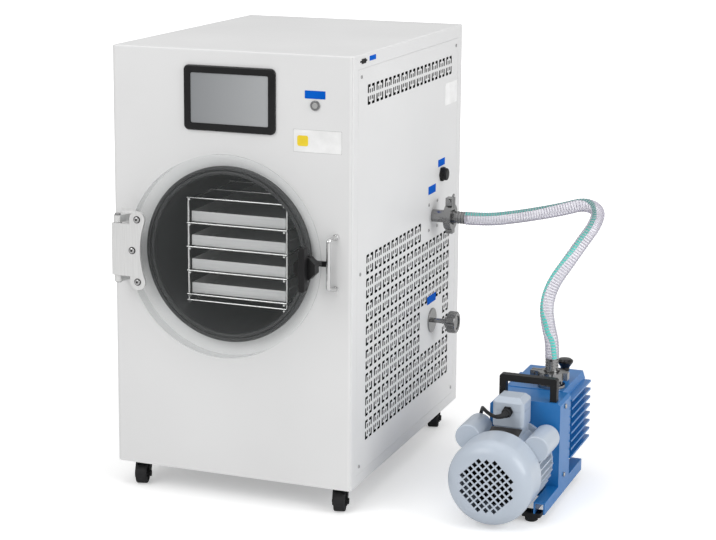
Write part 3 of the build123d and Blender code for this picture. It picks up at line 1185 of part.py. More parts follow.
# ---------------------------------------------------------------- hose and cord
HOSE_START = (PORT_END_X + BARB_LENGTH, PORT_Y, PORT_Z)
HOSE_END = (INTAKE_AT[0], INTAKE_AT[1], INTAKE_FLANGE_Z + BARB_LENGTH)
HOSE_ROUTE = [
    (366, PORT_Y, PORT_Z), (425, 144, 508), (479, 139, 521), (530, 141, 534), (571, 139, 548),
    (607, 117, 541), (608, 80, 519), (588, 59, 486), (566, 39, 448), (542, 11, 407),
    (535, -8, 366), (544, -17, 327), (INTAKE_AT[0], INTAKE_AT[1], 297),
]
CORD_ROUTE = [
    (513, -217, 200), (500, -228, 200), (483, -219, 204), (469, -199, 205), (460, -175, 198),
    (452, -148, 190), (443, -121, 179), (434, -108, 154), (428, -104, 118), (424, -98, 80),
    (418, -86, 40), (412, -62, 11), (406, -26, 4), (401, 26, 4), (395, 80, 4), (392, 130, 4),
]
CORD_END = (392, 179, 4)


def run_radii(points):
    """Arc radius at each corner of a route: as large as its two runs allow."""
    radii = []
    for before, here, after in zip(points, points[1:], points[2:]):
        first = Vector(*here) - Vector(*before)
        second = Vector(*after) - Vector(*here)
        turn = math.radians(first.get_angle(second))
        radii.append(0.45 * min(first.length, second.length) / math.tan(turn / 2))
    return radii


def tube_along(points, radius, name):
    """Plain tube of straight runs joined by tangent arcs."""
    radii = run_radii(points)
    path = FilletPolyline(*points, radius=radii)
    section = Plane(origin=path @ 0, z_dir=path % 0) * Circle(radius)
    tube = sweep(section, path=path)
    print(name, "length", round(path.length, 1), "radii", [round(r) for r in radii],
          "volume ratio", round(tube.volume / (math.pi * radius ** 2 * path.length), 4))
    return tube


def vacuum_hose():
    return tube_along([HOSE_START] + HOSE_ROUTE + [HOSE_END], HOSE_R, "vacuum_hose")


def pump_cord():
    return tube_along([CORD_EXIT] + CORD_ROUTE + [CORD_END], CORD_R, "pump_cord")


def pump_cord_coil():
    """Outer shape of the coiled rest of the cord, with its end towards the plug."""
    return ring((COIL_X, COIL_Y, 0), (COIL_X, COIL_Y, COIL_HEIGHT), COIL_R + COIL_HALF_WIDTH,
                COIL_R - COIL_HALF_WIDTH)


def pump_plug():
    """Three-pin plug lying along the coil's side, pins pointing forwards."""
    x0 = COIL_X + COIL_R + COIL_HALF_WIDTH
    end = COIL_Y - PLUG_LENGTH
    x, z = x0 + PLUG_WIDTH / 2, PLUG_HEIGHT / 2
    body = block(x0, x0 + PLUG_WIDTH, end, COIL_Y, 0, PLUG_HEIGHT)
    body = fillet(body.edges().filter_by(Axis.Y), 4)
    for dx in (-6.5, 6.5):
        body += block(x + dx - 0.8, x + dx + 0.8, end - 17, end, z - 3, z + 3)
    return body + rod((x, end, z + 6), (x, end - 19, z + 6), 2.4)


# ---------------------------------------------------------------- all pieces
def build_pieces():
    pieces = {
        "cabinet_shell": cabinet_shell(), "right_panel": right_panel(), "left_panel": left_panel(),
        "rear_panel": rear_panel(), "panel_screws": panel_screws(), "inner_frame": inner_frame(),
        "power_inlet": power_inlet(), "vacuum_chamber": vacuum_chamber(), "door_gasket": door_gasket(),
        "shelf_rack": shelf_rack(), "compressor": compressor(), "screen_bezel": screen_bezel(),
        "screen_glass": screen_glass(), "button_ring": button_ring(), "push_button": push_button(),
        "usb_socket": usb_socket(), "latch_strike": latch_strike(), "hinge_bracket": hinge_bracket(),
        "hinge_pin": hinge_pin(), "vacuum_port": vacuum_port(), "clamps": clamps(),
        "hose_barbs": hose_barbs(), "drain_body": drain_body(), "drain_handle": drain_handle(),
        "cable_glands": cable_glands(), "door_lid": door_lid(), "hinge_plate": hinge_plate(),
        "door_screws": door_screws(), "latch_handle": latch_handle(), "latch_tongue": latch_tongue(),
        "caster_plates": caster_plates(), "pump_base": pump_base(), "pump_feet": pump_feet(),
        "motor_housing": motor_housing(), "capacitors": capacitors(), "fan_cover": fan_cover(),
        "motor_fan": motor_fan(), "terminal_box": terminal_box(),
        "pump_handle": pump_handle(), "oil_tank": oil_tank(), "intake_neck": intake_neck(),
        "exhaust_cap": exhaust_cap(), "vacuum_hose": vacuum_hose(), "pump_cord": pump_cord(),
        "pump_cord_coil": pump_cord_coil(), "pump_plug": pump_plug(),
    }
    pieces["port_wing_nut"] = wing_nut(port_clamp_frame())
    pieces["intake_wing_nut"] = wing_nut(intake_clamp_frame())
    for index in range(TRAY_COUNT):
        pieces[f"tray_{index + 1}"] = tray(TRAY_COUNT - 1 - index)
    for name, (x, y) in caster_places().items():
        pieces[f"caster_fork_{name}"] = caster_fork(x, y)
        pieces[f"caster_wheel_{name}"] = caster_wheel(x, y)
    return pieces


# middle of the whole object without hose and cord, on the floor
LEFT_END = -HALF_W - SCREW_HEAD_T
RIGHT_END = PUMP_X + RAIL_OUT_RIGHT
FRONT_END = LID_FRONT_Y - CONTACT - KNOB_DEPTH - GRIP_DEPTH
BACK_END = HALF_D + 3.0
ORIGIN = ((LEFT_END + RIGHT_END) / 2, (FRONT_END + BACK_END) / 2, 0.0)


def main():
    os.makedirs("parts", exist_ok=True)
    for name, shape in build_pieces().items():
        moved = Pos(-ORIGIN[0], -ORIGIN[1], -ORIGIN[2]) * shape
        export_step(moved, f"parts/{name}.step")
    print("origin in the working frame", ORIGIN)


main()
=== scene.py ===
"""Looks of the freeze dryer: materials, hose, cord, vents, labels and studio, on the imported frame."""
import math

import bmesh
import bpy
from mathutils import Matrix, Vector


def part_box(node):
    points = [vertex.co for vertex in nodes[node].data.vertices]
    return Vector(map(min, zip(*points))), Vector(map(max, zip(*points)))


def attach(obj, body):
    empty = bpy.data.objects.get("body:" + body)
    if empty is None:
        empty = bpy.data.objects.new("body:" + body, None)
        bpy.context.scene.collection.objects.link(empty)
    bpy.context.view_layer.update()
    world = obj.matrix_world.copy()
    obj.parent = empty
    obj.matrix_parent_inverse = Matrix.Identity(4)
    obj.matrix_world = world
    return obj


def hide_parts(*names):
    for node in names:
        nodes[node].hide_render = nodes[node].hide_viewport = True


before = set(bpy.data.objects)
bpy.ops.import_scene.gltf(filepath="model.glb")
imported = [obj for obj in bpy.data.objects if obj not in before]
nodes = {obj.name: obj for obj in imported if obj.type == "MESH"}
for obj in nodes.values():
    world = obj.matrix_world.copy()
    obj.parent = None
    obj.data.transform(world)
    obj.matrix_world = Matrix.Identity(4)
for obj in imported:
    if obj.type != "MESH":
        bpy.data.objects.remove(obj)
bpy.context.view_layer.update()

MM = 0.001

# ---------------------------------------------------------------- places read from the frame
shell_low, shell_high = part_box("cabinet_shell")
MID_X = (shell_low.x + shell_high.x) / 2
MID_Y = (shell_low.y + shell_high.y) / 2
FRONT = shell_low.y
RIGHT = shell_high.x
UP = Vector((0, 0, 1))


def at(x, y, z):
    """Point given in millimetres from the cabinet's middle on the floor."""
    return Vector((MID_X + x * MM, MID_Y + y * MM, z * MM))


def on_front(x, z, off=0.0):
    """Point on the cabinet's front or off it, in the same millimetres."""
    return Vector((at(x, 0, 0).x, FRONT - off * MM, z * MM))


def on_side(y, z):
    """Point on the cabinet's right side, in the same millimetres."""
    return Vector((RIGHT, at(0, y, 0).y, z * MM))


def add_object(name, data):
    """Object that holds the data, put into the scene."""
    made = bpy.data.objects.new(name, data)
    bpy.context.scene.collection.objects.link(made)
    return made


# ---------------------------------------------------------------- camera
CAMERA_PLACE = (1462.0, -3507.3, 1285.5)                            # millimetres, as at() takes them
CAMERA_YAW, CAMERA_PITCH, CAMERA_ROLL = -21.280, 10.533, 0.3235     # degrees
CAMERA_LENS, CAMERA_SENSOR = 94.69, 36.0                            # millimetres
CAMERA_SHIFT = (0.0251, -0.1257)


def make_camera():
    yaw, pitch, roll = (math.radians(angle) for angle in (CAMERA_YAW, CAMERA_PITCH, CAMERA_ROLL))
    look = Vector((math.sin(yaw) * math.cos(pitch), math.cos(yaw) * math.cos(pitch), -math.sin(pitch)))
    right = Vector((math.cos(yaw), -math.sin(yaw), 0))
    up = right.cross(look)
    right, up = (right * math.cos(roll) + up * math.sin(roll),
                 up * math.cos(roll) - right * math.sin(roll))
    data = bpy.data.cameras.new("camera")
    data.sensor_width = CAMERA_SENSOR
    data.lens = CAMERA_LENS
    data.shift_x, data.shift_y = CAMERA_SHIFT
    data.clip_start = 0.1
    data.clip_end = 60
    camera = add_object("camera", data)
    rows = Matrix((right, up, -look)).transposed().to_4x4()
    camera.matrix_world = Matrix.Translation(at(*CAMERA_PLACE)) @ rows
    bpy.context.scene.camera = camera


make_camera()


# ---------------------------------------------------------------- node helpers
def new_material(name):
    """New material, its node tree and its Principled shader, which is linked to the output."""
    material = bpy.data.materials.new(name)
    material.use_nodes = True
    tree = material.node_tree
    tree.nodes.clear()
    output = tree.nodes.new("ShaderNodeOutputMaterial")
    shader = tree.nodes.new("ShaderNodeBsdfPrincipled")
    tree.links.new(shader.outputs[0], output.inputs[0])
    return material, tree, shader


def node(tree, kind, **values):
    """Node of a kind with its sockets or properties set by name."""
    made = tree.nodes.new(kind)
    for name, value in values.items():
        if name in made.inputs:
            made.inputs[name].default_value = value
        else:
            setattr(made, name, value)
    return made


def place(tree, scale=(1, 1, 1)):
    """The object's own coordinates in metres, scaled along each axis."""
    coordinates = tree.nodes.new("ShaderNodeTexCoord")
    mapping = node(tree, "ShaderNodeMapping", Scale=scale)
    tree.links.new(coordinates.outputs["Object"], mapping.inputs[0])
    return mapping.outputs[0]


def noise(tree, vector, scale, detail, roughness=0.5):
    made = node(tree, "ShaderNodeTexNoise", Scale=scale, Detail=detail, Roughness=roughness)
    tree.links.new(vector, made.inputs["Vector"])
    return made.outputs["Fac"]


def ramp(tree, factor, stops):
    """Colour ramp from (place, colour) stops; a colour may be one number for grey."""
    made = tree.nodes.new("ShaderNodeValToRGB")
    band = made.color_ramp
    while len(band.elements) < len(stops):
        band.elements.new(0.5)
    for element, (position, colour) in zip(band.elements, stops):
        element.position = position
        grey = isinstance(colour, (int, float))
        element.color = (colour, colour, colour, 1) if grey else (*colour, 1)
    tree.links.new(factor, made.inputs[0])
    return made.outputs[0]


def bump(tree, shader, height, strength, distance):
    made = node(tree, "ShaderNodeBump", Strength=strength, Distance=distance)
    tree.links.new(height, made.inputs["Height"])
    tree.links.new(made.outputs[0], shader.inputs["Normal"])


# ---------------------------------------------------------------- materials
def painted(name, colour, rough, grain=900, height=0.00004, coat=0.0, spread=0.04):
    """Paint with a fine orange peel and a faint drift of tone."""
    material, tree, shader = new_material(name)
    where = place(tree)
    drift = noise(tree, where, 3.0, 2.0)
    low = tuple(c * (1 - spread) for c in colour)
    tree.links.new(ramp(tree, drift, [(0.35, low), (0.65, colour)]), shader.inputs["Base Color"])
    peel = noise(tree, where, grain, 2.0)
    gloss = ramp(tree, noise(tree, where, 12.0, 3.0), [(0.3, rough * 0.9), (0.7, min(1.0, rough * 1.12))])
    tree.links.new(gloss, shader.inputs["Roughness"])
    shader.inputs["Coat Weight"].default_value = coat
    shader.inputs["Coat Roughness"].default_value = 0.12
    bump(tree, shader, peel, 0.35, height)
    return material


def brushed(name, colour=(0.62, 0.62, 0.61), rough=0.3, along="x", metal=1.0):
    """Metal with fine brush lines along one axis."""
    material, tree, shader = new_material(name)
    fine, coarse = 1800.0, 18.0
    scale = {"x": (coarse, fine, fine), "y": (fine, coarse, fine), "z": (fine, fine, coarse)}[along]
    lines = noise(tree, place(tree, scale), 1.0, 3.0, 0.6)
    dark = tuple(c * 0.82 for c in colour)
    tree.links.new(ramp(tree, lines, [(0.3, dark), (0.7, colour)]), shader.inputs["Base Color"])
    tree.links.new(ramp(tree, lines, [(0.2, rough * 0.8), (0.8, rough * 1.3)]), shader.inputs["Roughness"])
    shader.inputs["Metallic"].default_value = metal
    bump(tree, shader, lines, 0.15, 0.00003)
    return material


def polished(name, colour, rough):
    """Bright steel with light handling marks in its gloss."""
    material, tree, shader = new_material(name)
    where = place(tree)
    shader.inputs["Base Color"].default_value = (*colour, 1)
    shader.inputs["Metallic"].default_value = 1.0
    smear = noise(tree, where, 60.0, 5.0, 0.65)
    tree.links.new(ramp(tree, smear, [(0.3, rough * 0.6), (0.75, rough * 1.9)]), shader.inputs["Roughness"])
    bump(tree, shader, noise(tree, where, 260.0, 2.0), 0.08, 0.0001)
    return material


def plastic(name, colour, rough, grain=1500.0, depth=0.00006, specular=0.5):
    """Moulded plastic or rubber with a fine spark-eroded grain."""
    material, tree, shader = new_material(name)
    where = place(tree)
    lift = tuple(min(1.0, c * 1.25 + 0.003) for c in colour)
    cloud = noise(tree, where, 30.0, 4.0)
    tree.links.new(ramp(tree, cloud, [(0.3, colour), (0.75, lift)]), shader.inputs["Base Color"])
    tree.links.new(ramp(tree, cloud, [(0.3, rough), (0.8, rough * 1.25)]), shader.inputs["Roughness"])
    shader.inputs["Specular IOR Level"].default_value = specular
    bump(tree, shader, noise(tree, where, grain, 3.0), 0.3, depth)
    return material


SHADOW_LOST = 0.85                      # share of its shadow that a clear piece loses


def see_through(name, colour, clear, tint, skin, rim, rough=0.03, ior=1.49, most=1.0):
    """Clear plastic: a glossy skin over a body that lets light pass.

    clear is the share that passes face on, tint how strongly colour tints it, and skin the colour of
    the rest. rim sets how soon a slanting face turns solid, and most how solid it gets.
    """
    material, tree, shader = new_material(name)
    shader.inputs["Base Color"].default_value = (*skin, 1)
    shader.inputs["Roughness"].default_value = rough
    shader.inputs["IOR"].default_value = ior
    output = next(n for n in tree.nodes if n.type == "OUTPUT_MATERIAL")
    passing = node(tree, "ShaderNodeBsdfTransparent", Color=(*[1 - tint * (1 - c) for c in colour], 1))
    edge = node(tree, "ShaderNodeLayerWeight", Blend=rim)
    share = node(tree, "ShaderNodeMapRange")
    share.inputs["To Min"].default_value = 1 - clear
    share.inputs["To Max"].default_value = most
    tree.links.new(edge.outputs["Fresnel"], share.inputs["Value"])
    light = tree.nodes.new("ShaderNodeLightPath")
    shadow = node(tree, "ShaderNodeMath", operation="MULTIPLY_ADD")
    shadow.inputs[1].default_value = -SHADOW_LOST
    shadow.inputs[2].default_value = 1.0
    tree.links.new(light.outputs["Is Shadow Ray"], shadow.inputs[0])
    solid = node(tree, "ShaderNodeMath", operation="MULTIPLY")
    tree.links.new(share.outputs[0], solid.inputs[0])
    tree.links.new(shadow.outputs[0], solid.inputs[1])
    mixed = tree.nodes.new("ShaderNodeMixShader")
    tree.links.new(solid.outputs[0], mixed.inputs[0])
    tree.links.new(passing.outputs[0], mixed.inputs[1])
    tree.links.new(shader.outputs[0], mixed.inputs[2])
    tree.links.new(mixed.outputs[0], output.inputs[0])
    return material


def paint_shade_by_height(material, low, high):
    """Colour that changes from one height to another, in metres, each given as (height, colour); used for
    painted shade.
    """
    tree = material.node_tree
    shader = next(n for n in tree.nodes if n.type == "BSDF_PRINCIPLED")
    split = tree.nodes.new("ShaderNodeSeparateXYZ")
    tree.links.new(tree.nodes.new("ShaderNodeTexCoord").outputs["Object"], split.inputs[0])
    tree.links.new(ramp(tree, split.outputs["Z"], [low, high]), shader.inputs["Base Color"])


def paint_rim_light(material, face, rim):
    """Colour by the way a surface faces: face where it looks to the front or back, rim round the edge; the
    lighter rim is painted light.
    """
    tree = material.node_tree
    shader = next(n for n in tree.nodes if n.type == "BSDF_PRINCIPLED")
    surface = tree.nodes.new("ShaderNodeTexCoord")
    split = tree.nodes.new("ShaderNodeSeparateXYZ")
    tree.links.new(surface.outputs["Normal"], split.inputs[0])
    flat = node(tree, "ShaderNodeMath", operation="ABSOLUTE")
    tree.links.new(split.outputs["Y"], flat.inputs[0])
    tree.links.new(ramp(tree, flat.outputs[0], [(0.3, rim), (0.9, face)]), shader.inputs["Base Color"])


CABINET = painted("cabinet_powder_coat", (0.80, 0.80, 0.80), 0.38)
# the whole drum is given a near-black colour
DRUM_NEAR_BLACK = painted("chamber_lining", (0.028, 0.028, 0.03), 0.35, grain=500, height=0.0001)
FRAME_GREY = painted("frame_paint", (0.3, 0.31, 0.32), 0.5)
PUMP_BLUE = painted("pump_blue_paint", (0.010, 0.165, 0.47), 0.34, grain=600, height=0.00008, coat=0.15)
MOTOR_GREY = painted("motor_grey_paint", (0.50, 0.56, 0.64), 0.34, grain=500, height=0.00009, coat=0.25)
STEEL_X = brushed("brushed_steel_x", along="x")
STEEL_Z = brushed("brushed_steel_z", (0.84, 0.84, 0.835), 0.36, along="z", metal=0.6)
TRAY_STEEL = brushed("tray_steel", (0.82, 0.82, 0.82), 0.42, along="x", metal=0.55)
# base colour darker than real steel: painted dark reflection of the surroundings
BRIGHT = polished("bright_steel", (0.30, 0.30, 0.30), 0.16)
WIRE = polished("rack_wire", (0.78, 0.78, 0.77), 0.16)
CHROME = polished("chrome_bar", (0.66, 0.66, 0.66), 0.12)
SCREW = polished("screw_steel", (0.5, 0.5, 0.5), 0.28)
BLACK = plastic("black_plastic", (0.006, 0.006, 0.0065), 0.40, specular=0.28)
BLACK_GLOSS = plastic("black_gloss", (0.006, 0.006, 0.0065), 0.18, 700.0, 0.00002, specular=0.35)
RUBBER = plastic("black_rubber", (0.012, 0.012, 0.013), 0.55, 700.0, 0.0001, specular=0.3)
LABEL_BLUE = plastic("label_blue", (0.0, 0.095, 0.50), 0.6, 900.0, 0.00002, specular=0.04)
LABEL_WHITE = plastic("label_white", (0.83, 0.83, 0.825), 0.4, 900.0, 0.00002)
LABEL_EDGE = plastic("label_edge", (0.5, 0.5, 0.5), 0.4, 900.0, 0.00002)
LABEL_YELLOW = plastic("label_yellow", (0.85, 0.62, 0.02), 0.35, 900.0, 0.00002)
PLATE_BLACK = plastic("plate_black", (0.02, 0.017, 0.015), 0.3, 900.0, 0.00002)
GASKET = plastic("gasket_rubber", (0.024, 0.024, 0.025), 0.42, 900.0, 0.00001)
# near-black sheet behind the vents: painted shade for the dim inside of the cabinet
SHADE_SHEET = plastic("shade_sheet_black", (0.008, 0.008, 0.0085), 0.8, 1200.0, 0.0002, specular=0.1)
ACRYLIC = see_through("clear_acrylic", (0.95, 0.965, 0.965), clear=0.96, tint=0.24,
                      skin=(0.4, 0.42, 0.42), rim=0.16, most=0.6)
# painted light: the lid's rim much lighter than its faces
paint_rim_light(ACRYLIC, (0.36, 0.38, 0.38), (0.74, 0.75, 0.75))
PVC = see_through("clear_pvc", (0.80, 0.80, 0.86), clear=0.62, tint=0.35,
                  skin=(0.78, 0.76, 0.82), rim=0.2, rough=0.10, ior=1.53)
THREAD = plastic("hose_thread", (0.62, 0.58, 0.66), 0.25, 900.0, 0.00002)
TEAL = plastic("hose_colour_line", (0.03, 0.62, 0.55), 0.3, 900.0, 0.00002)
# painted shade: the hose's coloured line darker where the hose runs above about half a metre, brighter lower
# down
paint_shade_by_height(TEAL, (0.47, (0.05, 0.68, 0.58)), (0.54, (0.02, 0.26, 0.23)))
CORD_BLACK = plastic("cord_sheath", (0.006, 0.006, 0.0065), 0.42, 2200.0, 0.00003, specular=0.3)

MATERIAL_OF = {
    "cabinet_shell": CABINET, "right_panel": CABINET, "left_panel": CABINET, "rear_panel": CABINET,
    "panel_screws": SCREW, "inner_frame": FRAME_GREY, "power_inlet": BLACK, "vacuum_chamber": DRUM_NEAR_BLACK,
    "door_gasket": RUBBER, "shelf_rack": WIRE, "compressor": BLACK_GLOSS, "screen_bezel": BLACK_GLOSS,
    "button_ring": BRIGHT, "push_button": STEEL_X, "usb_socket": BLACK, "latch_strike": CHROME,
    "hinge_bracket": STEEL_Z, "hinge_pin": BRIGHT, "vacuum_port": BRIGHT, "clamps": BRIGHT,
    "hose_barbs": BRIGHT, "drain_body": BRIGHT, "drain_handle": BRIGHT, "cable_glands": BLACK,
    "door_lid": ACRYLIC, "hinge_plate": STEEL_Z, "door_screws": SCREW, "latch_handle": BLACK,
    "latch_tongue": BLACK, "caster_plates": BLACK, "pump_base": PUMP_BLUE, "pump_feet": RUBBER,
    "motor_housing": MOTOR_GREY, "capacitors": MOTOR_GREY, "fan_cover": MOTOR_GREY, "motor_fan": BLACK,
    "terminal_box": MOTOR_GREY, "pump_handle": BLACK, "oil_tank": PUMP_BLUE, "intake_neck": BRIGHT,
    "exhaust_cap": BLACK_GLOSS, "port_wing_nut": BRIGHT, "intake_wing_nut": BRIGHT, "pump_plug": BLACK,
}


def screen_material():
    """Display glass: dark grey that gets a little lighter from left to right, a painted sheen across the
    glass.
    """
    material, tree, shader = new_material("display_glass")
    low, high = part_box("screen_glass")
    coordinates = tree.nodes.new("ShaderNodeTexCoord")
    split = tree.nodes.new("ShaderNodeSeparateXYZ")
    tree.links.new(coordinates.outputs["Object"], split.inputs[0])
    across = node(tree, "ShaderNodeMapRange")
    across.inputs["From Min"].default_value = low.x
    across.inputs["From Max"].default_value = high.x
    tree.links.new(split.outputs["X"], across.inputs["Value"])
    # painted sheen: the glass lighter towards its right
    painted_sheen = ramp(tree, across.outputs[0], [(0.0, (0.25, 0.26, 0.27)), (1.0, (0.42, 0.43, 0.44))])
    tree.links.new(painted_sheen, shader.inputs["Base Color"])
    shader.inputs["Roughness"].default_value = 0.12
    shader.inputs["Coat Weight"].default_value = 0.5
    return material


MATERIAL_OF["screen_glass"] = screen_material()
MATERIAL_OF_GROUP = {"tray": TRAY_STEEL, "caster_fork": BLACK, "caster_wheel": RUBBER}


def material_of(name):
    """Material of a CAD node, by its name or by how its name starts."""
    if name in MATERIAL_OF:
        return MATERIAL_OF[name]
    return next((found for start, found in MATERIAL_OF_GROUP.items() if name.startswith(start)), None)


def finish_piece(piece, material, body):
    """Gives a new piece its material and body."""
    piece.data.materials.clear()
    piece.data.materials.append(material)
    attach(piece, body)
    return piece


def mesh_piece(name, vertices, faces, smooth=False):
    """Object with a mesh of its own, smooth shaded or flat."""
    data = bpy.data.meshes.new(name)
    data.from_pydata([tuple(v) for v in vertices], [], faces)
    data.update()
    if smooth:
        data.polygons.foreach_set("use_smooth", [True] * len(data.polygons))
    return add_object(name, data)


def dress_nodes():
    """Gives each CAD node that has one its material."""
    for name, piece in nodes.items():
        material = material_of(name)
        if material:
            piece.data.materials.clear()
            piece.data.materials.append(material)


dress_nodes()


# ---------------------------------------------------------------- hose and cord
def route(name, points):
    """Order 3 NURBS curve through the route's control points, in millimetres from the cabinet's middle."""
    data = bpy.data.curves.new(name, "CURVE")
    data.dimensions = "3D"
    spline = data.splines.new("NURBS")
    spline.points.add(len(points) - 1)
    for point, place_mm in zip(spline.points, points):
        point.co = (*at(*place_mm), 1)
    spline.order_u = 3
    spline.use_endpoint_u = True
    spline.resolution_u = 12
    data.resolution_u = 12
    return add_object(name, data)


def line_of(curve):
    """Points along a curve that has no bevel."""
    bpy.context.view_layer.update()
    mesh = bpy.data.meshes.new_from_object(curve)
    points = [v.co.copy() for v in mesh.vertices]
    bpy.data.meshes.remove(mesh)
    return points


def evenly(points, step):
    """The same line with points every step metres."""
    out, carried = [points[0]], 0.0
    for a, b in zip(points, points[1:]):
        length = (b - a).length
        while carried + length >= step:
            share = (step - carried) / length
            a = a.lerp(b, share)
            length = (b - a).length
            carried = 0.0
            out.append(a)
        carried += length
    if (out[-1] - points[-1]).length > step * 0.3:
        out.append(points[-1])
    else:
        out[-1] = points[-1]
    return out


def frames_along(points):
    """Direction, side and up at each point, without twist."""
    frames, side = [], UP
    for i in range(len(points)):
        ahead = points[min(i + 1, len(points) - 1)] - points[max(i - 1, 0)]
        ahead.normalize()
        side = (side - ahead * side.dot(ahead)).normalized()
        frames.append((ahead, side.copy(), ahead.cross(side)))
    return frames


def tube(name, points, radius_at, sides):
    """Mesh tube along points, closed at both ends; radius_at(index, angle) gives the radius."""
    vertices, faces = [], []
    for i, (point, (_, side, up)) in enumerate(zip(points, frames_along(points))):
        for k in range(sides):
            angle = 2 * math.pi * k / sides
            radius = radius_at(i, angle)
            vertices.append(point + side * math.cos(angle) * radius + up * math.sin(angle) * radius)
    for i in range(len(points) - 1):
        for k in range(sides):
            a, b = i * sides + k, i * sides + (k + 1) % sides
            faces.append((a, b, b + sides, a + sides))
    faces.append(tuple(range(sides))[::-1])
    faces.append(tuple(range(len(vertices) - sides, len(vertices))))
    return mesh_piece(name, vertices, faces, smooth=True)


HOSE_R = 14.0                           # millimetres, like the routes below
CORD_R = 3.5
HOSE_POINTS = [
    (319.5, 144.7, 497), (366, 144.7, 497), (425, 144, 508), (479, 139, 521), (530, 141, 534),
    (571, 139, 548), (607, 117, 541), (608, 80, 519), (588, 59, 486), (566, 39, 448),
    (542, 11, 407), (535, -8, 366), (544, -17, 327), (553, -18, 297), (553, -18, 266),
]
CORD_POINTS = [
    (513, -202, 200), (513, -217, 200), (500, -228, 200), (483, -219, 204), (469, -199, 205),
    (460, -175, 198), (452, -148, 190), (443, -121, 179), (434, -108, 154), (428, -104, 118),
    (424, -98, 80), (418, -86, 40), (412, -62, 11), (406, -26, 4), (401, 26, 4), (395, 80, 4),
    (392, 130, 4), (390, 170, 4),
]
COIL_MIDDLE = (430.0, 200.0)
COIL_INNER, COIL_OUTER = 34.5, 41.7     # radii of the two turns in each layer
COIL_LOW, COIL_HIGH = 3.7, 10.5         # heights of the two layers
COIL_TURNS = 3.5
COIL_STEP = 15                          # degrees between points
COIL_CHANGE = (300, 60)                 # degrees where a turn starts to change place, and how long it takes
COIL_EXIT = (60, 120)                   # the same for the last turn, which runs out to the plug
COIL_DIP = 3.6                          # how far the cord swings inwards where it climbs
COIL_EXIT_R = 59.0                      # radius where the cord meets the plug

# the hose's details, in metres
HOSE_STEP, LINE_STEP = 0.0015, 0.003    # between the points of its wall and of its coloured line
HOSE_RIPPLE = 0.0004                    # the wall sinks by twice this between turns of the thread
HOSE_SIDES = 28
THREAD_PITCH, THREAD_R, THREAD_WIRE_R = 0.0058, 0.0124, 0.0007
LINE_R, LINE_HALF_ANGLE = 0.01345, 0.38     # the angle in radians

# the cord's sleeve at the terminal box, in metres
SLEEVE_STEP, SLEEVE_RINGS, SLEEVE_SIDES = 0.0008, 36, 24
SLEEVE_R, SLEEVE_TAPER, SLEEVE_GROOVE = 0.0066, 0.0026, 0.00045
SLEEVE_RIB, SLEEVE_SUNK = 6, (3, 4)     # rings from one groove to the next, and those of them that are sunk
SLEEVE_PLAIN = (3, 2)                   # rings without grooves at the start and at the end


def ease(share):
    """Eases a share from 0 to 1."""
    share = max(0.0, min(1.0, share))
    return share * share * (3 - 2 * share)


def coil_points():
    """Turns that run clockwise seen from above and change place in one sector, then out to the plug."""
    points = []
    for angle in range(0, int(COIL_TURNS * 360) + 1, COIL_STEP):
        turn, within = divmod(angle, 360)
        change = ease((within - COIL_CHANGE[0]) / COIL_CHANGE[1])
        if turn == 0:
            radius, height = COIL_OUTER + (COIL_INNER - COIL_OUTER) * change, COIL_LOW
        elif turn == 1:
            radius = COIL_INNER - COIL_DIP * math.sin(math.pi * change)
            height = COIL_LOW + (COIL_HIGH - COIL_LOW) * change
        elif turn == 2:
            radius, height = COIL_INNER + (COIL_OUTER - COIL_INNER) * change, COIL_HIGH
        else:
            leaving = ease((within - COIL_EXIT[0]) / COIL_EXIT[1])
            radius, height = COIL_OUTER + (COIL_EXIT_R - COIL_OUTER) * leaving, COIL_HIGH
        way = math.radians(angle)
        points.append((COIL_MIDDLE[0] - radius * math.cos(way),
                       COIL_MIDDLE[1] + radius * math.sin(way), height))
    return points


STRIPE_FACES = [                        # share of the hose's length, and where its coloured line faces there
    (0.00, (0.0, -0.62, 1.0)), (0.22, (0.1, -0.50, 1.0)), (0.36, (0.0, -0.05, 1.0)),
    (0.45, (-0.6, -0.2, 0.8)), (0.52, (-0.25, -1.0, 0.3)), (0.62, (-0.35, -0.9, 0.2)),
    (0.72, (-0.62, -0.75, 0.0)), (0.82, (-0.72, -0.65, 0.0)), (0.90, (-0.1, -0.95, 0.0)),
    (0.96, (0.45, -0.85, 0.0)), (1.00, (0.64, -0.80, 0.0)),
]


def stripe_way(share):
    """Direction in which the hose's coloured line faces, at a share of its length."""
    for (a, first), (b, second) in zip(STRIPE_FACES, STRIPE_FACES[1:]):
        if share <= b:
            return Vector(first).lerp(Vector(second), ease((share - a) / (b - a)))
    return Vector(STRIPE_FACES[-1][1])


def ribbon(name, points, radius, half_angle, steps=6, thick=0.0006):
    """Coloured line inside the hose's wall: a strip bent round the hose, with some thickness."""
    vertices, faces = [], []
    row = 2 * (steps + 1)
    for i, (point, (ahead, _, _)) in enumerate(zip(points, frames_along(points))):
        way = stripe_way(i / (len(points) - 1))
        way = (way - ahead * way.dot(ahead)).normalized()
        across = ahead.cross(way)
        for r in (radius, radius - thick):
            for k in range(steps + 1):
                angle = half_angle * (2 * k / steps - 1)
                vertices.append(point + (way * math.cos(angle) + across * math.sin(angle)) * r)
    for i in range(len(points) - 1):
        for k in range(steps):
            a, b = i * row + k, i * row + k + 1
            faces.append((a, b, b + row, a + row))
            c, d = a + steps + 1, b + steps + 1
            faces.append((d, c, c + row, d + row))
        for k in (0, steps):
            a, c = i * row + k, i * row + k + steps + 1
            faces.append((a, a + row, c + row, c) if k == 0 else (c, c + row, a + row, a))
    return mesh_piece(name, vertices, faces, smooth=True)


def spiral(name, points, radius, pitch, wire, sides=5, around=20):
    """Thin thread wound along the inside of the hose."""
    line = evenly(points, pitch / around)
    wound = []
    for i, (point, (_, side, up)) in enumerate(zip(line, frames_along(line))):
        angle = 2 * math.pi * i / around
        wound.append(point + (side * math.cos(angle) + up * math.sin(angle)) * radius)
    return tube(name, wound, lambda i, angle: wire, sides)


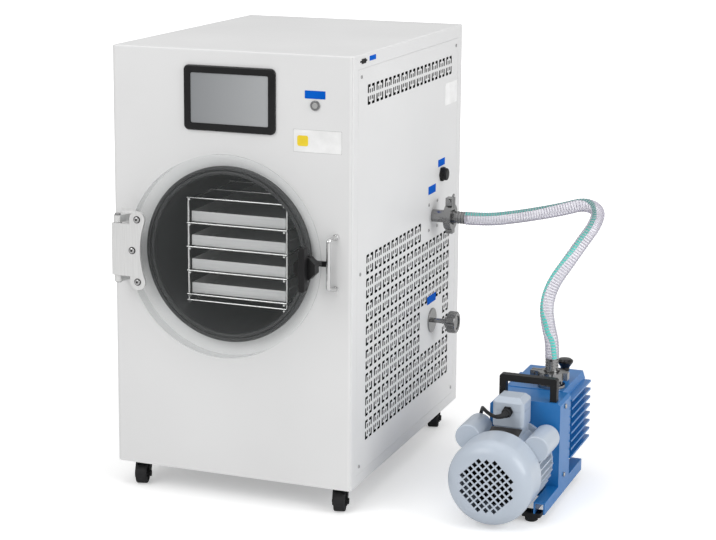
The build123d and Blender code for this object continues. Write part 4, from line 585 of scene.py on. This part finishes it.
def make_hose():
    curve = route("hose_line", HOSE_POINTS)
    line = line_of(curve)
    bpy.data.objects.remove(curve)
    fine = evenly(line, HOSE_STEP)

    def wall(i, angle):
        wound_by = 2 * math.pi * i * HOSE_STEP / THREAD_PITCH
        return HOSE_R * MM - HOSE_RIPPLE + HOSE_RIPPLE * math.cos(wound_by - angle)

    skin = finish_piece(tube("hose_skin", fine, wall, HOSE_SIDES), PVC, "cabinet")
    wound = spiral("hose_thread", line, THREAD_R, THREAD_PITCH, THREAD_WIRE_R)
    thread = finish_piece(wound, THREAD, "cabinet")
    strip = ribbon("hose_line_colour", evenly(line, LINE_STEP), LINE_R, LINE_HALF_ANGLE)
    lines = finish_piece(strip, TEAL, "cabinet")
    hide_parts("vacuum_hose")


def make_cord():
    cord = route("mains_cord", CORD_POINTS + coil_points())
    line = line_of(cord)
    cord.data.bevel_depth = CORD_R * MM
    cord.data.bevel_resolution = 4
    cord.data.use_fill_caps = True
    finish_piece(cord, CORD_BLACK, "cabinet")
    sleeve_line = evenly(line, SLEEVE_STEP)[:SLEEVE_RINGS]
    last = len(sleeve_line) - 1

    def sleeve(i, _):
        share = i / last
        sunk = i % SLEEVE_RIB in SLEEVE_SUNK and SLEEVE_PLAIN[0] < i < last - SLEEVE_PLAIN[1]
        return SLEEVE_R - SLEEVE_TAPER * share - (SLEEVE_GROOVE if sunk else 0.0)

    relief = tube("cord_relief", sleeve_line, sleeve, SLEEVE_SIDES)
    finish_piece(relief, RUBBER, "cabinet")
    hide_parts("pump_cord", "pump_cord_coil")


make_hose()
make_cord()


# ---------------------------------------------------------------- labels, plates and screws
OUT_FRONT, OUT_SIDE = Vector((0, -1, 0)), Vector((1, 0, 0))
FRONT_AXES = (OUT_FRONT, Vector((1, 0, 0)), UP)         # out, across and up
SIDE_AXES = (OUT_SIDE, Vector((0, 1, 0)), UP)


LEAST_CORNER = 0.05                     # millimetres, for the corners of a bevelled plate's top


def outline(width, tall, corner, steps=5):
    """Rounded rectangle as (across, up) pairs."""
    points = []
    for cx, cy, start in ((1, 1, 0), (-1, 1, 90), (-1, -1, 180), (1, -1, 270)):
        for k in range(steps + 1):
            angle = math.radians(start + 90 * k / steps)
            points.append((cx * (width / 2 - corner) + corner * math.cos(angle),
                           cy * (tall / 2 - corner) + corner * math.sin(angle)))
    return points


def plate(name, middle, axes, width, tall, thick, corner, material, slot, edge=0.0):
    """Thin plate on the cabinet or pump, in millimetres, with rounded corners and edge for its bevel."""
    out, across, up = axes
    rings = [(0.0, 0.0), (0.0, thick - edge), (edge, thick)] if edge else [(0.0, 0.0), (0.0, thick)]
    vertices, faces = [], []
    for inset, height in rings:
        for a, b in outline(width - 2 * inset, tall - 2 * inset, max(LEAST_CORNER, corner - inset)):
            vertices.append(middle + (across * a + up * b + out * height) * MM)
    count = len(vertices) // len(rings)
    for r in range(len(rings) - 1):
        for k in range(count):
            a, b = r * count + k, r * count + (k + 1) % count
            faces.append((a, b, b + count, a + count))
    faces.append(tuple(range((len(rings) - 1) * count, len(rings) * count)))
    faces.append(tuple(range(count))[::-1])
    piece = mesh_piece(name, vertices, faces)
    if across.cross(up).dot(out) < 0:
        piece.data.flip_normals()
    return finish_piece(piece, material, "cabinet")


NEAR_AXIS = 0.001                       # least radius in millimetres; what lies there is merged
MERGE_UNDER = 0.00001                   # metres


def turned(name, middle, out, profile, material, body="cabinet", steps=48):
    """Body of revolution about the level way out, from middle, by (radius, height) pairs in millimetres."""
    other = out.cross(UP)
    vertices, faces = [], []
    for k in range(steps):
        angle = 2 * math.pi * k / steps
        spoke = UP * math.cos(angle) + other * math.sin(angle)
        for radius, height in profile:
            vertices.append(middle + (spoke * max(radius, NEAR_AXIS) + out * height) * MM)
    count = len(profile)
    for k in range(steps):
        here, there = k * count, (k + 1) % steps * count
        for j in range(count - 1):
            faces.append((here + j, there + j, there + j + 1, here + j + 1))
    piece = mesh_piece(name, vertices, faces, smooth=True)
    merged = bmesh.new()
    merged.from_mesh(piece.data)
    bmesh.ops.remove_doubles(merged, verts=merged.verts, dist=MERGE_UNDER)
    bmesh.ops.recalc_face_normals(merged, faces=merged.faces)
    merged.to_mesh(piece.data)
    merged.free()
    return finish_piece(piece, material, body)


# y, z, width, height, thickness, corner radius, material and slot
SIDE_PLATES = {
    "label_usb": (-224.0, 868.0, 34.0, 9.0, 0.4, 1.0, LABEL_BLUE, "pump_blue"),
    "label_power": (137.0, 553.6, 47.0, 17.0, 0.4, 1.0, LABEL_BLUE, "pump_blue"),
    "label_signal": (197.0, 601.0, 44.0, 15.0, 0.4, 1.0, LABEL_BLUE, "pump_blue"),
    "label_drain": (143.0, 319.0, 56.0, 17.0, 0.4, 1.0, LABEL_BLUE, "pump_blue"),
    "sticker_side": (255.0, 741.0, 80.0, 46.0, 0.3, 1.5, LABEL_WHITE, "cabinet_paint"),
}
# x, z, how far off the front, then the same
FRONT_PLATES = {
    "label_button": (172.5, 806.0, 0.0, 41.0, 15.0, 0.4, 1.0, LABEL_BLUE, "pump_blue"),
    "sticker_front_edge": (177.4, 719.0, 0.0, 97.0, 43.0, 0.2, 1.5, LABEL_EDGE, "cabinet_paint"),
    "sticker_front": (177.4, 719.0, 0.0, 95.6, 41.6, 0.3, 1.5, LABEL_WHITE, "cabinet_paint"),
    "sticker_mark": (148.0, 719.0, 0.3, 22.0, 20.0, 0.15, 4.0, LABEL_YELLOW, "cabinet_paint"),
}
PUMP_PLATE_LOW, PUMP_PLATE_HIGH = (513, -225, 158), (513, -185, 168)    # two points up the slope under it
PUMP_PLATE_LIFT = 0.0002                                                # metres
PUMP_PLATE_SIZE = (60.0, 38.0, 0.8, 1.5)        # width, height, thickness, corner radius
PUMP_PLATE_EDGE = 0.2


def cabinet_plates():
    """Blank labels and stickers on the cabinet's side and front."""
    for name, (y, z, *rest) in SIDE_PLATES.items():
        plate(name, on_side(y, z), SIDE_AXES, *rest)
    for name, (x, z, off, *rest) in FRONT_PLATES.items():
        plate(name, on_front(x, z, off), FRONT_AXES, *rest)


def pump_plate():
    """Rating plate on the slope in front of the pump's terminal box, left blank."""
    low, high = at(*PUMP_PLATE_LOW), at(*PUMP_PLATE_HIGH)
    across, up = Vector((1, 0, 0)), (high - low).normalized()
    middle = (low + high) / 2 + UP * PUMP_PLATE_LIFT
    plate("pump_plate", middle, (across.cross(up), across, up), *PUMP_PLATE_SIZE,
          PLATE_BLACK, "black_plastic", edge=PUMP_PLATE_EDGE)


cabinet_plates()
pump_plate()

# profiles of turned pieces, as (radius, height) in millimetres
SOCKET_SCREW = [(0, 0), (4.6, 0), (4.6, 2.2), (4.1, 3.0), (2.4, 3.2), (2.2, 1.4), (0, 1.4)]
# black ring under each hinge screw's head
DARK_RING = [(0, 0), (7.0, 0), (7.0, 0.5), (0, 0.5)]
LOW_HEAD = [(0, 0), (5.0, 0), (5.0, 0.9), (4.6, 1.3), (0, 1.3)]
# black disc on each hinge screw's head: painted shade in its socket
SOCKET_SHADE = [(0, 0), (2.2, 0), (2.2, 0.45), (0, 0.45)]

HEAD_EDGE = 0.0055                      # metres from the edge of the CAD screws' box to a screw's middle
HEAD_INNER = 0.0165                     # the same for the middle one of the three
# pieces of a hinge screw: metres behind the face of the CAD screws, profile, material and slot
HINGE_LAYERS = {
    "dark_ring": (0.0028, DARK_RING, BLACK, "black_plastic"),
    "screw": (0.0010, LOW_HEAD, SCREW, "screw_metal"),
    "socket": (0.0, SOCKET_SHADE, BLACK, "black_plastic"),
}
BRACKET_SCREW_Y = -88.0
BRACKET_SCREWS_Z = (193.0, 55.0)


def hinge_screws():
    """Heads of the hinge's three screws, each with a black ring under it and a black disc on it, painted
    shade for its socket.
    """
    low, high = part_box("door_screws")
    spots = [(high.x - HEAD_EDGE, high.z - HEAD_EDGE), (high.x - HEAD_EDGE, low.z + HEAD_EDGE),
             (high.x - HEAD_INNER, (low.z + high.z) / 2)]
    for index, (x, z) in enumerate(spots):
        middle = Vector((x, low.y, z))
        for layer, (back, profile, material, slot) in HINGE_LAYERS.items():
            foot = middle - OUT_FRONT * back
            turned(f"hinge_{layer}_{index}", foot, OUT_FRONT, profile, material, "door")


def bracket_screws():
    """Screws in the side of the pump's bracket."""
    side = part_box("pump_base")[1].x
    for index, z in enumerate(BRACKET_SCREWS_Z):
        middle = Vector((side, at(0, BRACKET_SCREW_Y, 0).y, z * MM))
        turned(f"bracket_screw_{index}", middle, OUT_SIDE, SOCKET_SCREW, SCREW)


hinge_screws()
bracket_screws()


# ---------------------------------------------------------------- vented side panel
VENT_PITCH = 46.7
VENT_TILE = (37.7, 38.7)                # width and height
VENT_ARM = (15.4, 16.6)                 # how far an L-shaped slot reaches along and up
VENT_SLOT = (6.8, 5.6)                  # width of its upright and of its level arm
VENT_CUT = 1.6                          # bevel at its corners
SHORT_SLOT = (5.6, 8.2)                 # width and height of a short slot
SHORT_OFFSET = (5.4, 6.6)               # from the tile's middle to the short slot's
SHORT_CUT = 1.3
VENT_FIRST = (-249.0, 129.0)            # low corner of the first tile, as (y, z)
VENT_BAND_Z = 781.0                     # foot of the lone upper row
VENT_COLUMNS, VENT_ROWS = 11, 8
# tiles left out round the drain and below the port
VENT_BLANK = {(column, row) for column in (7, 8, 9) for row in (2, 3, 7)}
VENT_SHEET = 0.4                        # thickness of the sheet round the slots
# round holes in the panel, as (y, z, radius)
PORT_HOLE, DRAIN_HOLE, GLAND_HOLE = (144.7, 497.0, 13.3), (146.0, 272.0, 8.0), (198.0, 576.0, 11.0)
PANEL_CORNER = 1.5
SHADE_SHEET_Z = (120.0, 832.0)               # foot and top of the dark sheet
SHADE_SHEET_MARGIN = 6.0                     # how far the dark sheet starts before the first column
SHADE_SHEET_BEHIND, SHADE_SHEET_THICK, SHADE_SHEET_CORNER = 6.0, 1.2, 4.0     # behind the panel's face, thickness, corners


def vent_tiles():
    """Low corner of each tile, as (y, z)."""
    tiles = [(VENT_FIRST[0] + column * VENT_PITCH, VENT_BAND_Z) for column in range(VENT_COLUMNS)]
    for column in range(VENT_COLUMNS):
        for row in range(VENT_ROWS):
            if (column, row) not in VENT_BLANK:
                tiles.append((VENT_FIRST[0] + column * VENT_PITCH, VENT_FIRST[1] + row * VENT_PITCH))
    return tiles


def l_slot(y, z, sy, sz):
    """Outline of one L-shaped slot from its outer corner, towards sy and sz, with its outer corners cut."""
    wide, level = VENT_SLOT
    along, tall = VENT_ARM
    cut = VENT_CUT
    shape = [(cut, 0), (along - cut, 0), (along, cut), (along, level - cut), (along - cut, level),
             (wide, level), (wide, tall - cut), (wide - cut, tall), (cut, tall), (0, tall - cut), (0, cut)]
    return [(y + sy * a, z + sz * b) for a, b in shape]


def short_slot(y, z):
    """Outline of one short slot about its middle, with its corners cut."""
    wide, tall = SHORT_SLOT[0] / 2, SHORT_SLOT[1] / 2
    cut = SHORT_CUT
    return [(y - wide, z - tall + cut), (y - wide + cut, z - tall), (y + wide - cut, z - tall),
            (y + wide, z - tall + cut), (y + wide, z + tall - cut), (y + wide - cut, z + tall),
            (y - wide + cut, z + tall), (y - wide, z + tall - cut)]


def round_hole(y, z, radius, steps=28):
    """Outline of a round hole."""
    return [(y + radius * math.cos(2 * math.pi * k / steps), z + radius * math.sin(2 * math.pi * k / steps))
            for k in range(steps)]


def panel_holes():
    """Outlines of all that is cut from the panel, as (y, z) in millimetres."""
    holes = [round_hole(*hole) for hole in (PORT_HOLE, DRAIN_HOLE, GLAND_HOLE)]
    for y, z in vent_tiles():
        y1, z1 = y + VENT_TILE[0], z + VENT_TILE[1]
        holes += [l_slot(y, z, 1, 1), l_slot(y1, z, -1, 1), l_slot(y, z1, 1, -1), l_slot(y1, z1, -1, -1)]
        my, mz = (y + y1) / 2, (z + z1) / 2
        for sy in (-1, 1):
            for sz in (-1, 1):
                holes.append(short_slot(my + sy * SHORT_OFFSET[0], mz + sz * SHORT_OFFSET[1]))
    return holes


def sheet_mesh(loops):
    """Mesh of a thin level sheet with the first loop as its edge and the others as holes, in metres."""
    data = bpy.data.curves.new("panel_outline", "CURVE")
    data.dimensions = "2D"
    data.fill_mode = "BOTH"
    data.extrude = VENT_SHEET * MM / 2
    for loop in loops:
        spline = data.splines.new("POLY")
        spline.points.add(len(loop) - 1)
        for point, (across, up) in zip(spline.points, loop):
            point.co = (across, up, 0, 1)
        spline.use_cyclic_u = True
    flat = add_object("panel_outline", data)
    bpy.context.view_layer.update()
    mesh = bpy.data.meshes.new_from_object(flat)
    bpy.data.objects.remove(flat)
    return mesh


def vented_panel():
    """Side panel with its tiles of L-shaped and short slots, cut through the sheet."""
    low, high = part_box("right_panel")
    middle_y, middle_z = (low.y + high.y) / 2, (low.z + high.z) / 2
    wide, tall = (high.y - low.y) / MM, (high.z - low.z) / MM
    loops = [[(middle_y + a * MM, middle_z + b * MM) for a, b in outline(wide, tall, PANEL_CORNER, steps=3)]]
    for hole in panel_holes():
        loops.append([(MID_Y + y * MM, z * MM) for y, z in hole])
    mesh = sheet_mesh(loops)
    stand_up = Matrix(((0, 0, 1, high.x - VENT_SHEET * MM / 2), (1, 0, 0, 0), (0, 1, 0, 0), (0, 0, 0, 1)))
    mesh.transform(stand_up)
    mesh.update()
    panel = add_object("vented_panel", mesh)
    finish_piece(panel, CABINET, "cabinet")
    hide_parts("right_panel")


def vent_shade_sheet():
    """Near-black sheet behind the slots, painted shade for the dim inside of the cabinet."""
    z0, z1 = SHADE_SHEET_Z
    y0, y1 = VENT_FIRST[0] - SHADE_SHEET_MARGIN, VENT_FIRST[0] + VENT_COLUMNS * VENT_PITCH
    middle = on_side((y0 + y1) / 2, (z0 + z1) / 2) - OUT_SIDE * SHADE_SHEET_BEHIND * MM
    plate("vent_shade_sheet", middle, SIDE_AXES, y1 - y0, z1 - z0, SHADE_SHEET_THICK, SHADE_SHEET_CORNER,
          SHADE_SHEET, "black_plastic")


vented_panel()
vent_shade_sheet()


# ---------------------------------------------------------------- gasket
GASKET_INNER = 154.0                    # radius in millimetres, like the beads' sizes
BEAD_HALF, BEAD_FOOT, BEAD_RISE = 4.0, 3.0, 2.9     # half width, foot below the seal's front, height
BEAD_STEPS = 6


def bead(radius, foot):
    """Rounded bead about a radius, as (radius, height) pairs from its inner side to its outer side."""
    angles = [math.pi * (1 - k / BEAD_STEPS) for k in range(BEAD_STEPS + 1)]
    return [(radius + BEAD_HALF * math.cos(angle), foot + BEAD_RISE * math.sin(angle)) for angle in angles]


def gasket():
    """Soft lip seal between drum and lid, with two rounded beads."""
    low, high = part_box("door_gasket")
    middle = Vector(((low.x + high.x) / 2, high.y, (low.z + high.z) / 2))
    foot = (high.y - low.y) / MM - BEAD_FOOT
    outer = (high.x - low.x) / 2 / MM
    inner = GASKET_INNER
    profile = [(inner, 0), (inner, foot), *bead(inner + BEAD_HALF, foot), *bead(outer - BEAD_HALF, foot),
               (outer, 0), (inner, 0)]
    piece = turned("gasket_lip", middle, OUT_FRONT, profile, GASKET, steps=128)
    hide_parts("door_gasket")


gasket()


# ---------------------------------------------------------------- studio
LIGHTS = {                              # place, target and size in metres, power in watts
    "key": ((-1.6, -3.2, 3.0), (0, 0, 0.4), 2.4, 52),
    "side": ((3.6, -0.9, 2.0), (0.1, 0, 0.4), 2.4, 62),
    "top": ((0.0, 0.2, 3.6), (0, 0, 0.4), 2.6, 22),
}
FLOOR_HALF = 14.0
GLOW_REACH = (0.8, 3.0)                 # metres from the middle over which the floor turns white
GLOW_FROM, GLOW_TO = 0.36, 1.0


def area_light(name, spot, target, size, power):
    data = bpy.data.lights.new(name, "AREA")
    data.shape = "RECTANGLE"
    data.size = data.size_y = size
    data.energy = power
    lamp = add_object(name, data)
    lamp.location = spot
    lamp.rotation_euler = (Vector(target) - Vector(spot)).to_track_quat("-Z", "Y").to_euler()


def make_world():
    """White seen by the camera, dimmer where it lights the object."""
    world = bpy.data.worlds.new("studio")
    bpy.context.scene.world = world
    world.use_nodes = True
    tree = world.node_tree
    tree.nodes.clear()
    output = tree.nodes.new("ShaderNodeOutputWorld")
    fill = node(tree, "ShaderNodeBackground", Color=(1, 1, 1, 1), Strength=0.55)
    seen = node(tree, "ShaderNodeBackground", Color=(1, 1, 1, 1), Strength=1.0)
    mixed = tree.nodes.new("ShaderNodeMixShader")
    ray = tree.nodes.new("ShaderNodeLightPath")
    tree.links.new(ray.outputs["Is Camera Ray"], mixed.inputs[0])
    tree.links.new(fill.outputs[0], mixed.inputs[1])
    tree.links.new(seen.outputs[0], mixed.inputs[2])
    tree.links.new(mixed.outputs[0], output.inputs[0])


def make_floor():
    """Pale floor that melts into the white background and keeps the object's soft shadow."""
    corners = [(x * FLOOR_HALF, y * FLOOR_HALF, 0) for x, y in ((-1, -1), (1, -1), (1, 1), (-1, 1))]
    floor = mesh_piece("studio_floor", corners, [(0, 1, 2, 3)])
    material = bpy.data.materials.new("studio_floor")
    material.use_nodes = True
    tree = material.node_tree
    tree.nodes.clear()
    output = tree.nodes.new("ShaderNodeOutputMaterial")
    matt = node(tree, "ShaderNodeBsdfDiffuse", Color=(0.86, 0.86, 0.86, 1))
    glow = node(tree, "ShaderNodeEmission", Color=(1, 1, 1, 1))
    ray = tree.nodes.new("ShaderNodeLightPath")
    gain = node(tree, "ShaderNodeMath", operation="MULTIPLY")
    tree.links.new(ray.outputs["Is Camera Ray"], gain.inputs[0])
    where = tree.nodes.new("ShaderNodeTexCoord")
    reach = node(tree, "ShaderNodeVectorMath", operation="LENGTH")
    tree.links.new(where.outputs["Object"], reach.inputs[0])
    fade = node(tree, "ShaderNodeMapRange", clamp=True)
    fade.inputs["From Min"].default_value, fade.inputs["From Max"].default_value = GLOW_REACH
    fade.inputs["To Min"].default_value = GLOW_FROM
    fade.inputs["To Max"].default_value = GLOW_TO
    tree.links.new(reach.outputs["Value"], fade.inputs["Value"])
    tree.links.new(fade.outputs[0], gain.inputs[1])
    tree.links.new(gain.outputs[0], glow.inputs["Strength"])
    both = tree.nodes.new("ShaderNodeAddShader")
    tree.links.new(matt.outputs[0], both.inputs[0])
    tree.links.new(glow.outputs[0], both.inputs[1])
    tree.links.new(both.outputs[0], output.inputs[0])
    floor.data.materials.append(material)


make_floor()
make_world()
for name, light in LIGHTS.items():
    area_light(name, *light)
bpy.context.scene.view_settings.view_transform = "Standard"
